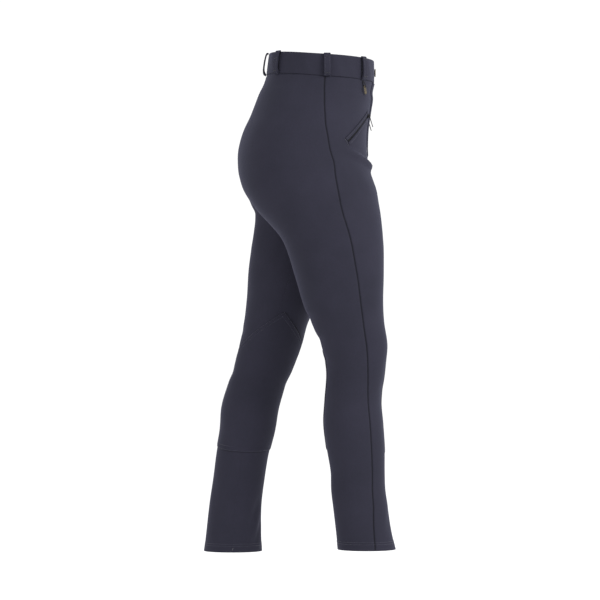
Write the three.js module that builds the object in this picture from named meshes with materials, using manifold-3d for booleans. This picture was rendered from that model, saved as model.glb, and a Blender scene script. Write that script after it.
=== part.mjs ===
import * as THREE from "three";
import { mergeVertices } from "three/addons/utils/BufferGeometryUtils.js";
import Module from "manifold-3d";

// Riding breeches as they are worn, in mid stride and with nobody in them: a hollow form of cloth walls.
// Lengths are millimetres. +X is forwards, +Y the wearer's left and +Z up.
// The origin is the middle of the waistband's ring, where the wearer's waist holds them up.

const wasm = await Module();
wasm.setup();

// Driving dimensions
const SEAM_GAP = 0.3; // between pieces that are sewn together
const CLOTH = 1.8; // wall of the fronts and backs
const BAND_CLOTH = 3; // the folded and faced waistband
const PATCH_CLOTH = 1.6;
const FLY_CLOTH = 1.5;
const BAND_TOP = 21; // the waistband's edges above and below the origin
const BAND_BOTTOM = -20.7;
const BAND_SLOPE = -0.059; // the band's fall towards the front, a share of the distance forwards
const BAND_SAG = 2.6; // and its further fall from the back to the sides, between these places
const SAG_BACK = -107;
const SAG_SIDE = -7;
const BAND_SQUARE = 2.2;
const SLOPE_END = -120; // where the tilt of the waist has faded out
const PANEL_TOP = BAND_BOTTOM - SEAM_GAP;
const CROTCH = -269;
const RISE_HEIGHT = 130; // from the crotch up to where the centre seams run straight
const RISE_BOTTOM_BEND = 1.3; // 1 gives the rise a round bottom, 2 a pointed one
const RISE_TOP_BEND = 1.6;
const LEG_ROUND = -330; // from here down each leg is a whole loop about its own middle
const INSEAM_RUN = 110; // below the crotch, where the two inseams draw apart
const EDGE_RUN = 0.45; // share of a panel's width that the shared centre seam pulls along

// Widths that both halves share, at each height: the side's and the inner leg's distance from the middle
// plane, how square the section is, and how far behind the front the side seam lies, a share of the depth.
const CUT = [
  { z: -21, outer: 128.6, inner: 0, square: 2.2, seam: 0.46 },
  { z: -52, outer: 138, inner: 0, square: 2.25, seam: 0.43 },
  { z: -78, outer: 146, inner: 0, square: 2.3, seam: 0.4 },
  { z: -112, outer: 156, inner: 0, square: 2.3, seam: 0.353 },
  { z: -139, outer: 163, inner: 0, square: 2.3, seam: 0.315 },
  { z: -176, outer: 169, inner: 0, square: 2.3, seam: 0.286 },
  { z: -213, outer: 172, inner: 0, square: 2.25, seam: 0.288 },
  { z: -247, outer: 172, inner: 0, square: 2.2, seam: 0.3 },
  { z: -269, outer: 171.4, inner: 0, square: 2.15, seam: 0.313 },
  { z: -300, outer: 169.7, inner: 3, square: 2.1, seam: 0.326 },
  { z: -354, outer: 165, inner: 6, square: 2.1, seam: 0.327 },
  { z: -438, outer: 156, inner: 11, square: 2.1, seam: 0.29 },
  { z: -481, outer: 149, inner: 15, square: 2.1, seam: 0.292 },
  { z: -530, outer: 139, inner: 20, square: 2.15, seam: 0.328 },
  { z: -580, outer: 132, inner: 24.5, square: 2.15, seam: 0.3 },
  { z: -637, outer: 131.5, inner: 23, square: 2.1, seam: 0.236 },
  { z: -680, outer: 133, inner: 22, square: 2.1, seam: 0.226 },
  { z: -723, outer: 132, inner: 23, square: 2.1, seam: 0.233 },
  { z: -776, outer: 127.5, inner: 25, square: 2.1, seam: 0.238 },
  { z: -821, outer: 125, inner: 26.5, square: 2.1, seam: 0.258 },
  { z: -862, outer: 125, inner: 25, square: 2.15, seam: 0.305 },
  { z: -932, outer: 126.5, inner: 21.5, square: 2.15, seam: 0.375 },
];

// Front and back outline of the right half, whose leg steps forwards.
const RIGHT_DEPTH = [
  { z: -21, front: 99.6, back: -105.6 },
  { z: -40, front: 95.7, back: -112.2 },
  { z: -55, front: 96.3, back: -120.1 },
  { z: -76, front: 93.6, back: -129 },
  { z: -96, front: 90.9, back: -137.7 },
  { z: -119, front: 88, back: -149.3 },
  { z: -142, front: 86.8, back: -156.8 },
  { z: -165, front: 87.6, back: -160.8 },
  { z: -194, front: 95.4, back: -160 },
  { z: -211, front: 97.5, back: -157 },
  { z: -234, front: 102.5, back: -149.5 },
  { z: -257, front: 107, back: -136.5 },
  { z: -275, front: 110.2, back: -124 },
  { z: -300, front: 113, back: -100.5 },
  { z: -325, front: 115.2, back: -79.5 },
  { z: -350, front: 117, back: -67 },
  { z: -400, front: 117.3, back: -51.7 },
  { z: -450, front: 115.8, back: -36.5 },
  { z: -487, front: 117.8, back: -20.5 },
  { z: -532, front: 124.4, back: -0.9 },
  { z: -578, front: 119.2, back: 8.8 },
  { z: -635, front: 111.5, back: 6 },
  { z: -680, front: 115.6, back: 3.6 },
  { z: -725, front: 118.4, back: 8.7 },
  { z: -770, front: 118.8, back: 16 },
  { z: -805, front: 120.2, back: 17.2 },
  { z: -838, front: 125.2, back: 21.4 },
  { z: -872, front: 129.9, back: 25.2 },
  { z: -917.5, front: 139.5, back: 29.5 },
];

// The left half, whose leg trails: its thigh slants back from under the seat.
const LEFT_DEPTH = [
  { z: -21, front: 99.6, back: -105.6 },
  { z: -40, front: 95.7, back: -112.2 },
  { z: -55, front: 96.3, back: -120.1 },
  { z: -76, front: 93.6, back: -129 },
  { z: -96, front: 90.9, back: -137.7 },
  { z: -119, front: 88, back: -149.3 },
  { z: -142, front: 86.8, back: -156.8 },
  { z: -165, front: 86, back: -160.8 },
  { z: -194, front: 82.5, back: -160 },
  { z: -211, front: 79, back: -157 },
  { z: -234, front: 73.5, back: -149.5 },
  { z: -257, front: 67.5, back: -138 },
  { z: -282, front: 61, back: -128.5 },
  { z: -312, front: 52.5, back: -129.8 },
  { z: -348, front: 41, back: -136.8 },
  { z: -395, front: 21, back: -143 },
  { z: -445, front: -3.5, back: -145.6 },
  { z: -488, front: -25.5, back: -150.5 },
  { z: -535, front: -38.5, back: -159.5 },
  { z: -582, front: -57.9, back: -170.3 },
  { z: -605, front: -69, back: -179.2 },
  { z: -652, front: -83, back: -192.8 },
  { z: -698, front: -91, back: -196.8 },
  { z: -745, front: -103, back: -204.6 },
  { z: -792, front: -110.4, back: -210.7 },
  { z: -839, front: -116.2, back: -217.1 },
  { z: -885, front: -117, back: -222.7 },
  { z: -932, front: -116, back: -228.4 },
];

const RIGHT = { name: "right", hand: -1, depth: RIGHT_DEPTH, hem: -917.5 };
const LEFT = { name: "left", hand: 1, depth: LEFT_DEPTH, hem: -932 };
const SIDES = [RIGHT, LEFT];

// Waistband edges: front and back reach, and half the width.
const BAND = [
  { z: BAND_TOP, front: 100.4, back: -101.4, side: 127.4 },
  { z: BAND_BOTTOM, front: 100.6, back: -106.4, side: 129.4 },
];
const BAND_STEPS = 60;
const UNDERLAP = 0.204; // angles that the two ends of the band pass the centre front by
const OVERLAP = 0.074;
const TUCK_START = 0.11; // the underlap tucks in behind the overlap between these angles
const TUCK_END = 0.32;

const FRONT_COLUMNS = 10;
const BACK_COLUMNS = 12;
const WAIST_ROWS = 7;
const RISE_ROWS = 11;
const RISE_CROWDING = 1.5; // rows crowd towards the crotch
const LEG_ROWS = 26;

// Colours
const NAVY = new THREE.MeshStandardMaterial({ color: 0x2a2b3c, roughness: 0.92, metalness: 0 });
const NAVY_TRIM = new THREE.MeshStandardMaterial({ color: 0x262737, roughness: 0.9, metalness: 0 });
const BLACK_CORD = new THREE.MeshStandardMaterial({ color: 0x0b0b10, roughness: 0.8, metalness: 0 });
const BLACK_ZIP = new THREE.MeshStandardMaterial({ color: 0x0d0d12, roughness: 0.55, metalness: 0 });
const BLACK_METAL = new THREE.MeshStandardMaterial({ color: 0x101014, roughness: 0.4, metalness: 0.8 });
const BRASS = new THREE.MeshStandardMaterial({ color: 0x8a775c, roughness: 0.4, metalness: 1 });

// Curves and sections

const smooth = (share) => THREE.MathUtils.smoothstep(share, 0, 1);
const signedPower = (value, power) => Math.sign(value) * Math.abs(value) ** power;

// Slope of one column at a row, from the rows beside it.
function slopeAt(table, index, column) {
  const before = table[Math.max(index - 1, 0)];
  const after = table[Math.min(index + 1, table.length - 1)];
  return (after[column] - before[column]) / (after.z - before.z);
}

// One column of a table at height z, on a smooth curve through its rows. The rows run downwards.
function readColumn(table, column, z) {
  const last = table.length - 1;
  const found = table.findIndex((row) => row.z <= z);
  const next = found < 0 ? last : Math.max(found, 1);
  const upper = table[next - 1];
  const lower = table[next];
  const span = lower.z - upper.z;
  const share = THREE.MathUtils.clamp((z - upper.z) / span, 0, 1);
  const square = share * share;
  const cube = square * share;
  return (
    (2 * cube - 3 * square + 1) * upper[column] +
    (cube - 2 * square + share) * span * slopeAt(table, next - 1, column) +
    (3 * square - 2 * cube) * lower[column] +
    (cube - square) * span * slopeAt(table, next, column)
  );
}

// How nearly one half closes on itself: 0 where the two halves make one trunk, 1 from the crotch down.
function partingAt(z) {
  const share = THREE.MathUtils.clamp((z - CROTCH) / RISE_HEIGHT, 0, 1);
  return (1 - share ** RISE_BOTTOM_BEND) ** RISE_TOP_BEND;
}

// The level section of one half: part of a rounded loop about (middleX, middleY), from the front edge's
// angle, round the side, to the back edge's angle. The middle moves out from the trunk's to the leg's.
function ownSection(side, z) {
  const front = readColumn(side.depth, "front", z);
  const back = readColumn(side.depth, "back", z);
  const outer = readColumn(CUT, "outer", z);
  const inner = readColumn(CUT, "inner", z);
  const square = readColumn(CUT, "square", z);
  const seam = readColumn(CUT, "seam", z);
  const parting = partingAt(z);
  const riseTop = CROTCH + RISE_HEIGHT;
  const middleX = (front + back) / 2;
  const reach = (front - back) / 2;
  const middleY = ((outer + inner) / 2) * smooth((riseTop - z) / (riseTop - LEG_ROUND));
  const halfIn = z > CROTCH ? middleY / Math.max(parting, 1e-6) : middleY - inner;
  const start = -Math.asin(parting ** (square / 2));
  const edgeReach = reach * Math.max(Math.cos(start), 0) ** (2 / square);
  return {
    middleX,
    middleY,
    reach,
    square,
    halfOut: outer - middleY,
    halfIn,
    start,
    end: Math.PI - start,
    seam: Math.acos(signedPower(1 - 2 * seam, square / 2)),
    frontEdge: middleX + edgeReach,
    backEdge: middleX - edgeReach,
  };
}

// The same, with the pull that brings both halves' edges to one shared centre seam and crotch.
const sections = new Map();
function sectionAt(side, z) {
  const key = side.name + z.toFixed(4);
  if (!sections.has(key)) {
    const own = ownSection(side, z);
    const other = ownSection(side === RIGHT ? LEFT : RIGHT, z);
    const hold = z >= CROTCH ? 1 : 1 - smooth((CROTCH - z) / INSEAM_RUN);
    own.startPull = (hold * (other.frontEdge - own.frontEdge)) / 2;
    own.endPull = (hold * (other.backEdge - own.backEdge)) / 2;
    sections.set(key, own);
  }
  return sections.get(key);
}

// How far the tilt of the waist lowers a place, by its distance forwards.
function fallAt(x) {
  return BAND_SLOPE * x - BAND_SAG * smooth((x - SAG_BACK) / (SAG_SIDE - SAG_BACK));
}

// A point of the cloth's outer face at a height and an angle round the section.
function pointAt(side, z, angle) {
  const section = sectionAt(side, z);
  const across = signedPower(Math.sin(angle), 2 / section.square);
  const forwards = signedPower(Math.cos(angle), 2 / section.square);
  const half = across > 0 ? section.halfOut : section.halfIn;
  const fromFront = (angle - section.start) / (section.seam - section.start);
  const fromBack = (section.end - angle) / (section.end - section.seam);
  const pull =
    section.startPull * (1 - smooth(fromFront / EDGE_RUN)) +
    section.endPull * (1 - smooth(fromBack / EDGE_RUN));
  const x = section.middleX + section.reach * forwards + pull;
  const y = section.middleY + half * across + SEAM_GAP / 2;
  const share = smooth((z - SLOPE_END) / (PANEL_TOP - SLOPE_END));
  return new THREE.Vector3(x, side.hand * y, z + share * fallAt(x));
}

// The outward direction there.
function normalAt(side, z, angle) {
  const turn = 0.004;
  const rise = 0.8;
  const along = pointAt(side, z, angle + turn).sub(pointAt(side, z, angle - turn));
  const upwards = pointAt(side, z + rise, angle).sub(pointAt(side, z - rise, angle));
  return along.cross(upwards).normalize().multiplyScalar(side.hand);
}

// The outer face's point moved out by lift, or into the wall where lift is below 0, on its own side of the
// middle plane.
function liftedPoint(side, z, angle, lift) {
  const point = pointAt(side, z, angle).addScaledVector(normalAt(side, z, angle), lift);
  point.y = side.hand * Math.max(side.hand * point.y, SEAM_GAP / 2);
  return point;
}

// Length of cloth along the section from one angle to another, at even angles.
function measureSection(side, z, from, to) {
  const steps = 72;
  const angles = [from];
  const lengths = [0];
  let previous = pointAt(side, z, from);
  for (let step = 1; step <= steps; step += 1) {
    const angle = from + ((to - from) * step) / steps;
    const point = pointAt(side, z, angle);
    angles.push(angle);
    lengths.push(lengths[step - 1] + point.distanceTo(previous));
    previous = point;
  }
  return { angles, lengths, total: lengths[steps] };
}

// The angle that lies a length of cloth along a measured section.
function angleAlong(measured, length) {
  const { angles, lengths } = measured;
  const found = lengths.findIndex((value) => value >= length);
  const next = found < 0 ? lengths.length - 1 : Math.max(found, 1);
  const share = (length - lengths[next - 1]) / (lengths[next] - lengths[next - 1]);
  return THREE.MathUtils.lerp(angles[next - 1], angles[next], share);
}

// The angle on a front, so many millimetres of cloth from its centre front edge or inseam.
function frontAngle(side, z, length) {
  const section = sectionAt(side, z);
  return angleAlong(measureSection(side, z, section.start, section.seam + 0.5), length);
}

// The angle on a back, so many millimetres of cloth from its inseam.
function backAngle(side, z, length) {
  const section = sectionAt(side, z);
  return angleAlong(measureSection(side, z, section.end, section.seam), length);
}

// Solids

// Signed volume, which is below 0 where the faces point inwards.
function signedVolume(points, faces) {
  const triple = ([a, b, c]) => points[a].dot(points[b].clone().cross(points[c]));
  return faces.reduce((sum, face) => sum + triple(face) / 6, 0);
}

// A closed wall between two grids of points, outer[row][column] and inner[row][column].
function wallGeometry(outer, inner) {
  const rows = outer.length;
  const columns = outer[0].length;
  const points = [...outer.flat(), ...inner.flat()];
  const at = (layer, row, column) => layer * rows * columns + row * columns + column;
  const faces = [];
  const quad = (a, b, c, d) => faces.push([a, b, c], [a, c, d]);
  for (let row = 0; row + 1 < rows; row += 1) {
    for (let column = 0; column + 1 < columns; column += 1) {
      const [a, b] = [at(0, row, column), at(0, row, column + 1)];
      const [c, d] = [at(0, row + 1, column + 1), at(0, row + 1, column)];
      const under = rows * columns;
      quad(a, b, c, d);
      quad(b + under, a + under, d + under, c + under);
    }
    quad(at(1, row, 0), at(0, row, 0), at(0, row + 1, 0), at(1, row + 1, 0));
    const end = columns - 1;
    quad(at(0, row, end), at(1, row, end), at(1, row + 1, end), at(0, row + 1, end));
  }
  for (let column = 0; column + 1 < columns; column += 1) {
    const end = rows - 1;
    quad(at(0, 0, column), at(1, 0, column), at(1, 0, column + 1), at(0, 0, column + 1));
    quad(at(0, end, column + 1), at(1, end, column + 1), at(1, end, column), at(0, end, column));
  }
  if (signedVolume(points, faces) < 0) faces.forEach((face) => face.reverse());
  const geometry = new THREE.BufferGeometry().setFromPoints(points);
  geometry.setIndex(faces.flat());
  geometry.computeVertexNormals();
  return geometry;
}

function makeMesh(name, geometry, material) {
  const mesh = new THREE.Mesh(geometry, material);
  mesh.name = name;
  return mesh;
}

// A closed three.js geometry as a solid that can be joined or cut.
function solidOf(geometry) {
  const bare = geometry.clone();
  bare.deleteAttribute("normal");
  bare.deleteAttribute("uv");
  const merged = mergeVertices(bare, 1e-4);
  return new wasm.Manifold(
    new wasm.Mesh({
      numProp: 3,
      vertProperties: merged.attributes.position.array,
      triVerts: new Uint32Array(merged.index.array),
    }),
  );
}

function joinedGeometry(first, second) {
  const mesh = solidOf(first).add(solidOf(second)).getMesh();
  const geometry = new THREE.BufferGeometry();
  geometry.setAttribute("position", new THREE.BufferAttribute(mesh.vertProperties, 3));
  geometry.setIndex(new THREE.BufferAttribute(mesh.triVerts, 1));
  geometry.computeVertexNormals();
  return geometry;
}

// Fronts and backs

// Heights of a panel's rows, from the waist seam to the hem.
function rowHeights(side) {
  const riseTop = CROTCH + RISE_HEIGHT;
  const heights = [];
  for (let row = 0; row < WAIST_ROWS; row += 1) {
    heights.push(THREE.MathUtils.lerp(PANEL_TOP, riseTop, row / WAIST_ROWS));
  }
  for (let row = 0; row < RISE_ROWS; row += 1) {
    heights.push(CROTCH + RISE_HEIGHT * (1 - row / RISE_ROWS) ** RISE_CROWDING);
  }
  for (let row = 0; row <= LEG_ROWS; row += 1) {
    heights.push(THREE.MathUtils.lerp(CROTCH, side.hem, row / LEG_ROWS));
  }
  return heights;
}

function makePanel(side, isFront) {
  const columns = isFront ? FRONT_COLUMNS : BACK_COLUMNS;
  const grid = (lift) =>
    rowHeights(side).map((z) => {
      const section = sectionAt(side, z);
      const from = isFront ? section.start : section.seam;
      const to = isFront ? section.seam : section.end;
      const measured = measureSection(side, z, from, to);
      const width = measured.total - SEAM_GAP;
      return Array.from({ length: columns + 1 }, (_, column) => {
        const along = SEAM_GAP / 2 + (width * column) / columns;
        return liftedPoint(side, z, angleAlong(measured, along), lift);
      });
    });
  const name = (isFront ? "front_" : "back_") + side.name;
  return makeMesh(name, wallGeometry(grid(0), grid(-CLOTH)), NAVY);
}

// Inner knee patches

// How far a patch reaches from the inseam onto the front and onto the back, from its peak, which lies wholly
// on the front, to its lower edge.
const PATCH = [
  { z: -469, front: 13, back: -7 },
  { z: -490, front: 36, back: 17 },
  { z: -511, front: 59, back: 43 },
  { z: -533, front: 80, back: 76 },
  { z: -549, front: 82, back: 94 },
  { z: -580, front: 83, back: 95 },
  { z: -660, front: 82, back: 88 },
  { z: -729, front: 82, back: 86 },
];
const PATCH_PEAK_ROWS = 10; // along the slanting edges, down to the shoulders
const PATCH_ROWS = 8; // below them
const PATCH_SHOULDER = -545;
const PATCH_COLUMNS = 18;
const PATCH_DIP = 6.5; // the lower edge bows down in the middle
const PATCH_TILT = 7; // and its front end lies lower than its back end
const PATCH_LIFT = 1.5;

function makeKneePatch(side) {
  const [peak, foot] = [PATCH[0].z, PATCH[PATCH.length - 1].z];
  const grid = (lift) =>
    Array.from({ length: PATCH_PEAK_ROWS + PATCH_ROWS + 1 }, (_, row) => {
      const level =
        row < PATCH_PEAK_ROWS
          ? THREE.MathUtils.lerp(peak, PATCH_SHOULDER, row / PATCH_PEAK_ROWS)
          : THREE.MathUtils.lerp(PATCH_SHOULDER, foot, (row - PATCH_PEAK_ROWS) / PATCH_ROWS);
      const down = (peak - level) / (peak - foot);
      const front = readColumn(PATCH, "front", level);
      const back = readColumn(PATCH, "back", level);
      return Array.from({ length: PATCH_COLUMNS + 1 }, (_, column) => {
        const across = (2 * column) / PATCH_COLUMNS - 1;
        const dip = PATCH_DIP * (1 - across * across) + (PATCH_TILT * (1 + across)) / 2;
        const z = level - dip * down ** 6;
        const out = (front - back) / 2 + (across * (front + back)) / 2;
        const angle = out < 0 ? backAngle(side, z, -out) : frontAngle(side, z, out);
        return liftedPoint(side, z, angle, lift);
      });
    });
  const geometry = wallGeometry(grid(PATCH_LIFT + PATCH_CLOTH), grid(PATCH_LIFT));
  return makeMesh("knee_patch_" + side.name, geometry, NAVY);
}

// Fly front, on the right front beside the centre seam, ending in a round corner
const FLY_WIDTH = 36;
const FLY_TOP = -22.5;
const FLY_BOTTOM = -172;
const FLY_LIFT = 0.8;

function makeFly() {
  const rows = 14;
  const columns = 4;
  const grid = (lift) =>
    Array.from({ length: rows + 1 }, (_, row) => {
      const z = THREE.MathUtils.lerp(FLY_TOP, FLY_BOTTOM, row / rows);
      const intoCorner = THREE.MathUtils.clamp((FLY_BOTTOM + FLY_WIDTH - z) / FLY_WIDTH, 0, 1);
      const width = Math.max(FLY_WIDTH * Math.sqrt(1 - intoCorner ** 2), 4);
      return Array.from({ length: columns + 1 }, (_, column) => {
        const angle = frontAngle(RIGHT, z, 0.4 + (width * column) / columns);
        return liftedPoint(RIGHT, z, angle, lift);
      });
    });
  return makeMesh("fly_front", wallGeometry(grid(FLY_LIFT + FLY_CLOTH), grid(FLY_LIFT)), NAVY);
}

// Waistband

function bandPoint(z, angle, lift) {
  const at = (turn) => {
    const front = readColumn(BAND, "front", z);
    const back = readColumn(BAND, "back", z);
    const forwards = signedPower(Math.cos(turn), 2 / BAND_SQUARE);
    const across = signedPower(Math.sin(turn), 2 / BAND_SQUARE);
    const x = (front + back) / 2 + ((front - back) / 2) * forwards;
    return new THREE.Vector3(x, readColumn(BAND, "side", z) * across, 0);
  };
  const along = at(angle + 0.004).sub(at(angle - 0.004));
  const outwards = along.cross(new THREE.Vector3(0, 0, 1)).normalize();
  const point = at(angle).addScaledVector(outwards, lift);
  point.z = z + fallAt(point.x);
  return point;
}

// The underlap's place behind the overlapping end.
function tuckAt(angle) {
  return -(BAND_CLOTH + SEAM_GAP) * (1 - smooth((angle - TUCK_START) / (TUCK_END - TUCK_START)));
}

function makeWaistband() {
  const grid = (lift) =>
    BAND.map((edge) =>
      Array.from({ length: BAND_STEPS + 1 }, (_, step) => {
        const angle = THREE.MathUtils.lerp(-UNDERLAP, 2 * Math.PI + OVERLAP, step / BAND_STEPS);
        return bandPoint(edge.z, angle, lift + tuckAt(angle));
      }),
    );
  return makeMesh("waistband", wallGeometry(grid(0), grid(-BAND_CLOTH)), NAVY_TRIM);
}

// Belt loops: a folded strip that stands off the band, seen from its edge. Out is from the band's face.
const LOOP_WIDTH = 12.5;
const LOOP_EDGE = [
  { out: 0.3, z: -21.5 },
  { out: 2.6, z: -21.5 },
  { out: 6.4, z: -18.5 },
  { out: 8.2, z: -10 },
  { out: 8, z: 4 },
  { out: 7, z: 16 },
  { out: 5.4, z: 21.4 },
  { out: 3.8, z: 22.8 },
  { out: 0.3, z: 22.8 },
  { out: 0.3, z: 20 },
  { out: 3.1, z: 19.8 },
  { out: 4.4, z: 15 },
  { out: 5.1, z: 4 },
  { out: 5.2, z: -8 },
  { out: 3.4, z: -14.5 },
  { out: 0.3, z: -18 },
];
const BELT_LOOPS = [
  { name: "belt_loop_back", angle: Math.PI },
  { name: "belt_loop_back_left", angle: 2.45 },
  { name: "belt_loop_back_right", angle: -2.45 },
  { name: "belt_loop_side_left", angle: 1.486 },
  { name: "belt_loop_side_right", angle: -1.486 },
  { name: "belt_loop_front_left", angle: 0.73 },
  { name: "belt_loop_front_right", angle: -0.73 },
];

// The outward direction of the band, level, at an angle.
function bandOutwards(angle) {
  return bandPoint(0, angle, 1).sub(bandPoint(0, angle, 0)).setZ(0).normalize();
}

function makeBeltLoop({ name, angle }) {
  const origin = bandPoint(0, angle, 0);
  const outwards = bandOutwards(angle);
  const upwards = new THREE.Vector3(0, 0, 1);
  const across = outwards.clone().cross(upwards);
  const edge = LOOP_EDGE.map(({ out, z }) => {
    const face = bandPoint(THREE.MathUtils.clamp(z, BAND_BOTTOM, BAND_TOP), angle, 0);
    return new THREE.Vector2(face.sub(origin).dot(outwards) + out, z);
  });
  const geometry = new THREE.ExtrudeGeometry(new THREE.Shape(edge), {
    depth: LOOP_WIDTH,
    bevelEnabled: false,
  });
  geometry.translate(0, 0, -LOOP_WIDTH / 2);
  const mesh = makeMesh(name, geometry, NAVY_TRIM);
  mesh.applyMatrix4(new THREE.Matrix4().makeBasis(outwards, upwards, across).setPosition(origin));
  return mesh;
}

// Waist button

const BUTTON_PROFILE = [
  { radius: 0, height: 0 },
  { radius: 6.6, height: 0 },
  { radius: 7.7, height: 0.7 },
  { radius: 7.9, height: 1.7 },
  { radius: 7, height: 2.8 },
  { radius: 5.7, height: 2.5 },
  { radius: 4.4, height: 2.2 },
  { radius: 0, height: 2.7 },
];
const BUTTON_HEIGHT = -0.8; // of its middle on the band

function makeButton() {
  const profile = BUTTON_PROFILE.map(({ radius, height }) => new THREE.Vector2(radius, height));
  const geometry = new THREE.LatheGeometry(profile, 20);
  const mesh = makeMesh("waist_button", geometry, BRASS);
  mesh.rotation.z = -Math.PI / 2;
  mesh.position.copy(bandPoint(BUTTON_HEIGHT, 0, SEAM_GAP));
  return mesh;
}

// Slanting front pockets. Places are a length of cloth from the centre front and a height.
const POCKET_TOP = { along: 57, z: -90.5 };
const POCKET_END = { along: 140.5, z: -148 };
const WELT_WIDTH = 7;
const WELT_CLOTH = 1.8;
const ZIP_WIDTH = 2.6;
const ZIP_CLOTH = 1;
const POCKET_LIFT = 0.55;
const POCKET_STEPS = 9;

// A strip that runs beside the pocket's line: its near and far edge across, and the ends along.
function makePocketStrip(name, side, { from, to, start, end, thickness, material }) {
  const run = POCKET_END.along - POCKET_TOP.along;
  const drop = POCKET_END.z - POCKET_TOP.z;
  const length = Math.hypot(run, drop);
  const place = (share, across) => ({
    along: POCKET_TOP.along + run * share + (across * drop) / length,
    z: POCKET_TOP.z + drop * share - (across * run) / length,
  });
  const grid = (lift) =>
    Array.from({ length: POCKET_STEPS + 1 }, (_, step) => {
      const share = THREE.MathUtils.lerp(start, end, step / POCKET_STEPS);
      return [from, to].map((across) => {
        const { along, z } = place(share, across);
        return liftedPoint(side, z, frontAngle(side, z, along), lift);
      });
    });
  const geometry = wallGeometry(grid(POCKET_LIFT + thickness), grid(POCKET_LIFT));
  return makeMesh(name + "_" + side.name, geometry, material);
}

function makePocket(side) {
  const slit = ZIP_WIDTH / 2 + SEAM_GAP;
  const welt = { start: 0, end: 1, thickness: WELT_CLOTH, material: NAVY };
  const zip = { start: 0.04, end: 0.97, thickness: ZIP_CLOTH, material: BLACK_ZIP };
  return [
    makePocketStrip("pocket_welt_lower", side, { ...welt, from: slit, to: slit + WELT_WIDTH }),
    makePocketStrip("pocket_welt_upper", side, { ...welt, from: -slit, to: -slit - WELT_WIDTH }),
    makePocketStrip("pocket_zip", side, { ...zip, from: -ZIP_WIDTH / 2, to: ZIP_WIDTH / 2 }),
  ];
}

// Zip slider and pull. Their own frame has X along the hinge pin, level and parallel to the cloth,
// Y up the pull and Z out from the cloth, with its origin on the welts' outer faces.
const SLIDER_WIDTH = 6;
const SLIDER_LENGTH = 8;
const SLIDER_THICKNESS = 1.8;
const ARCH_WIDTH = 1.8;
const PIN_HEIGHT = 3.3; // of the hinge above the welts' faces
const PIN_SIZE = 1;
const PULL_WIDTH = 4.2;
const PULL_LENGTH = 22;
const PULL_THICKNESS = 1.1;
const PULL_TAIL = 2.8;
const EYE_LENGTH = 3.1;
const EYE_WIDTH = 2.8;
const PULL_LEAN = THREE.MathUtils.degToRad(24); // the pull stands off the cloth below its pin

function sliderFrame(side) {
  const z = POCKET_TOP.z - 3.4;
  const angle = frontAngle(side, z, POCKET_TOP.along + 5.4);
  const outwards = normalAt(side, z, angle);
  const pin = new THREE.Vector3(0, 0, 1).cross(outwards).normalize();
  const upwards = outwards.clone().cross(pin);
  const face = liftedPoint(side, z, angle, POCKET_LIFT + WELT_CLOTH + SEAM_GAP);
  return new THREE.Matrix4().makeBasis(pin, upwards, outwards).setPosition(face);
}

function roundedRectangle(width, length, radius) {
  const shape = new THREE.Shape();
  const [x, y] = [width / 2, length / 2];
  shape.moveTo(-x + radius, -y);
  shape.absarc(x - radius, -y + radius, radius, -Math.PI / 2, 0);
  shape.absarc(x - radius, y - radius, radius, 0, Math.PI / 2);
  shape.absarc(-x + radius, y - radius, radius, Math.PI / 2, Math.PI);
  shape.absarc(-x + radius, -y + radius, radius, Math.PI, 1.5 * Math.PI);
  return shape;
}

function makeSlider(side) {
  const plate = new THREE.ExtrudeGeometry(roundedRectangle(SLIDER_WIDTH, SLIDER_LENGTH, 1.6), {
    depth: SLIDER_THICKNESS,
    bevelEnabled: false,
    curveSegments: 3,
  });
  const arch = new THREE.Shape([
    new THREE.Vector2(-2.5, 0.5),
    new THREE.Vector2(2.5, 0.5),
    new THREE.Vector2(2.5, 4.4),
    new THREE.Vector2(1.6, 5.4),
    new THREE.Vector2(-1.6, 5.4),
    new THREE.Vector2(-2.5, 4.4),
  ]);
  const hole = new THREE.Path([
    new THREE.Vector2(-1.4, 2.2),
    new THREE.Vector2(-1.4, 3.9),
    new THREE.Vector2(-0.9, 4.5),
    new THREE.Vector2(0.9, 4.5),
    new THREE.Vector2(1.4, 3.9),
    new THREE.Vector2(1.4, 2.2),
  ]);
  arch.holes.push(hole);
  const bridge = new THREE.ExtrudeGeometry(arch, { depth: ARCH_WIDTH, bevelEnabled: false });
  bridge.translate(0, 0, -ARCH_WIDTH / 2);
  bridge.applyMatrix4(
    new THREE.Matrix4().makeBasis(
      new THREE.Vector3(0, 1, 0),
      new THREE.Vector3(0, 0, 1),
      new THREE.Vector3(1, 0, 0),
    ),
  );
  const mesh = makeMesh("pocket_slider_" + side.name, joinedGeometry(plate, bridge), BLACK_METAL);
  mesh.applyMatrix4(sliderFrame(side));
  return mesh;
}

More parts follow.
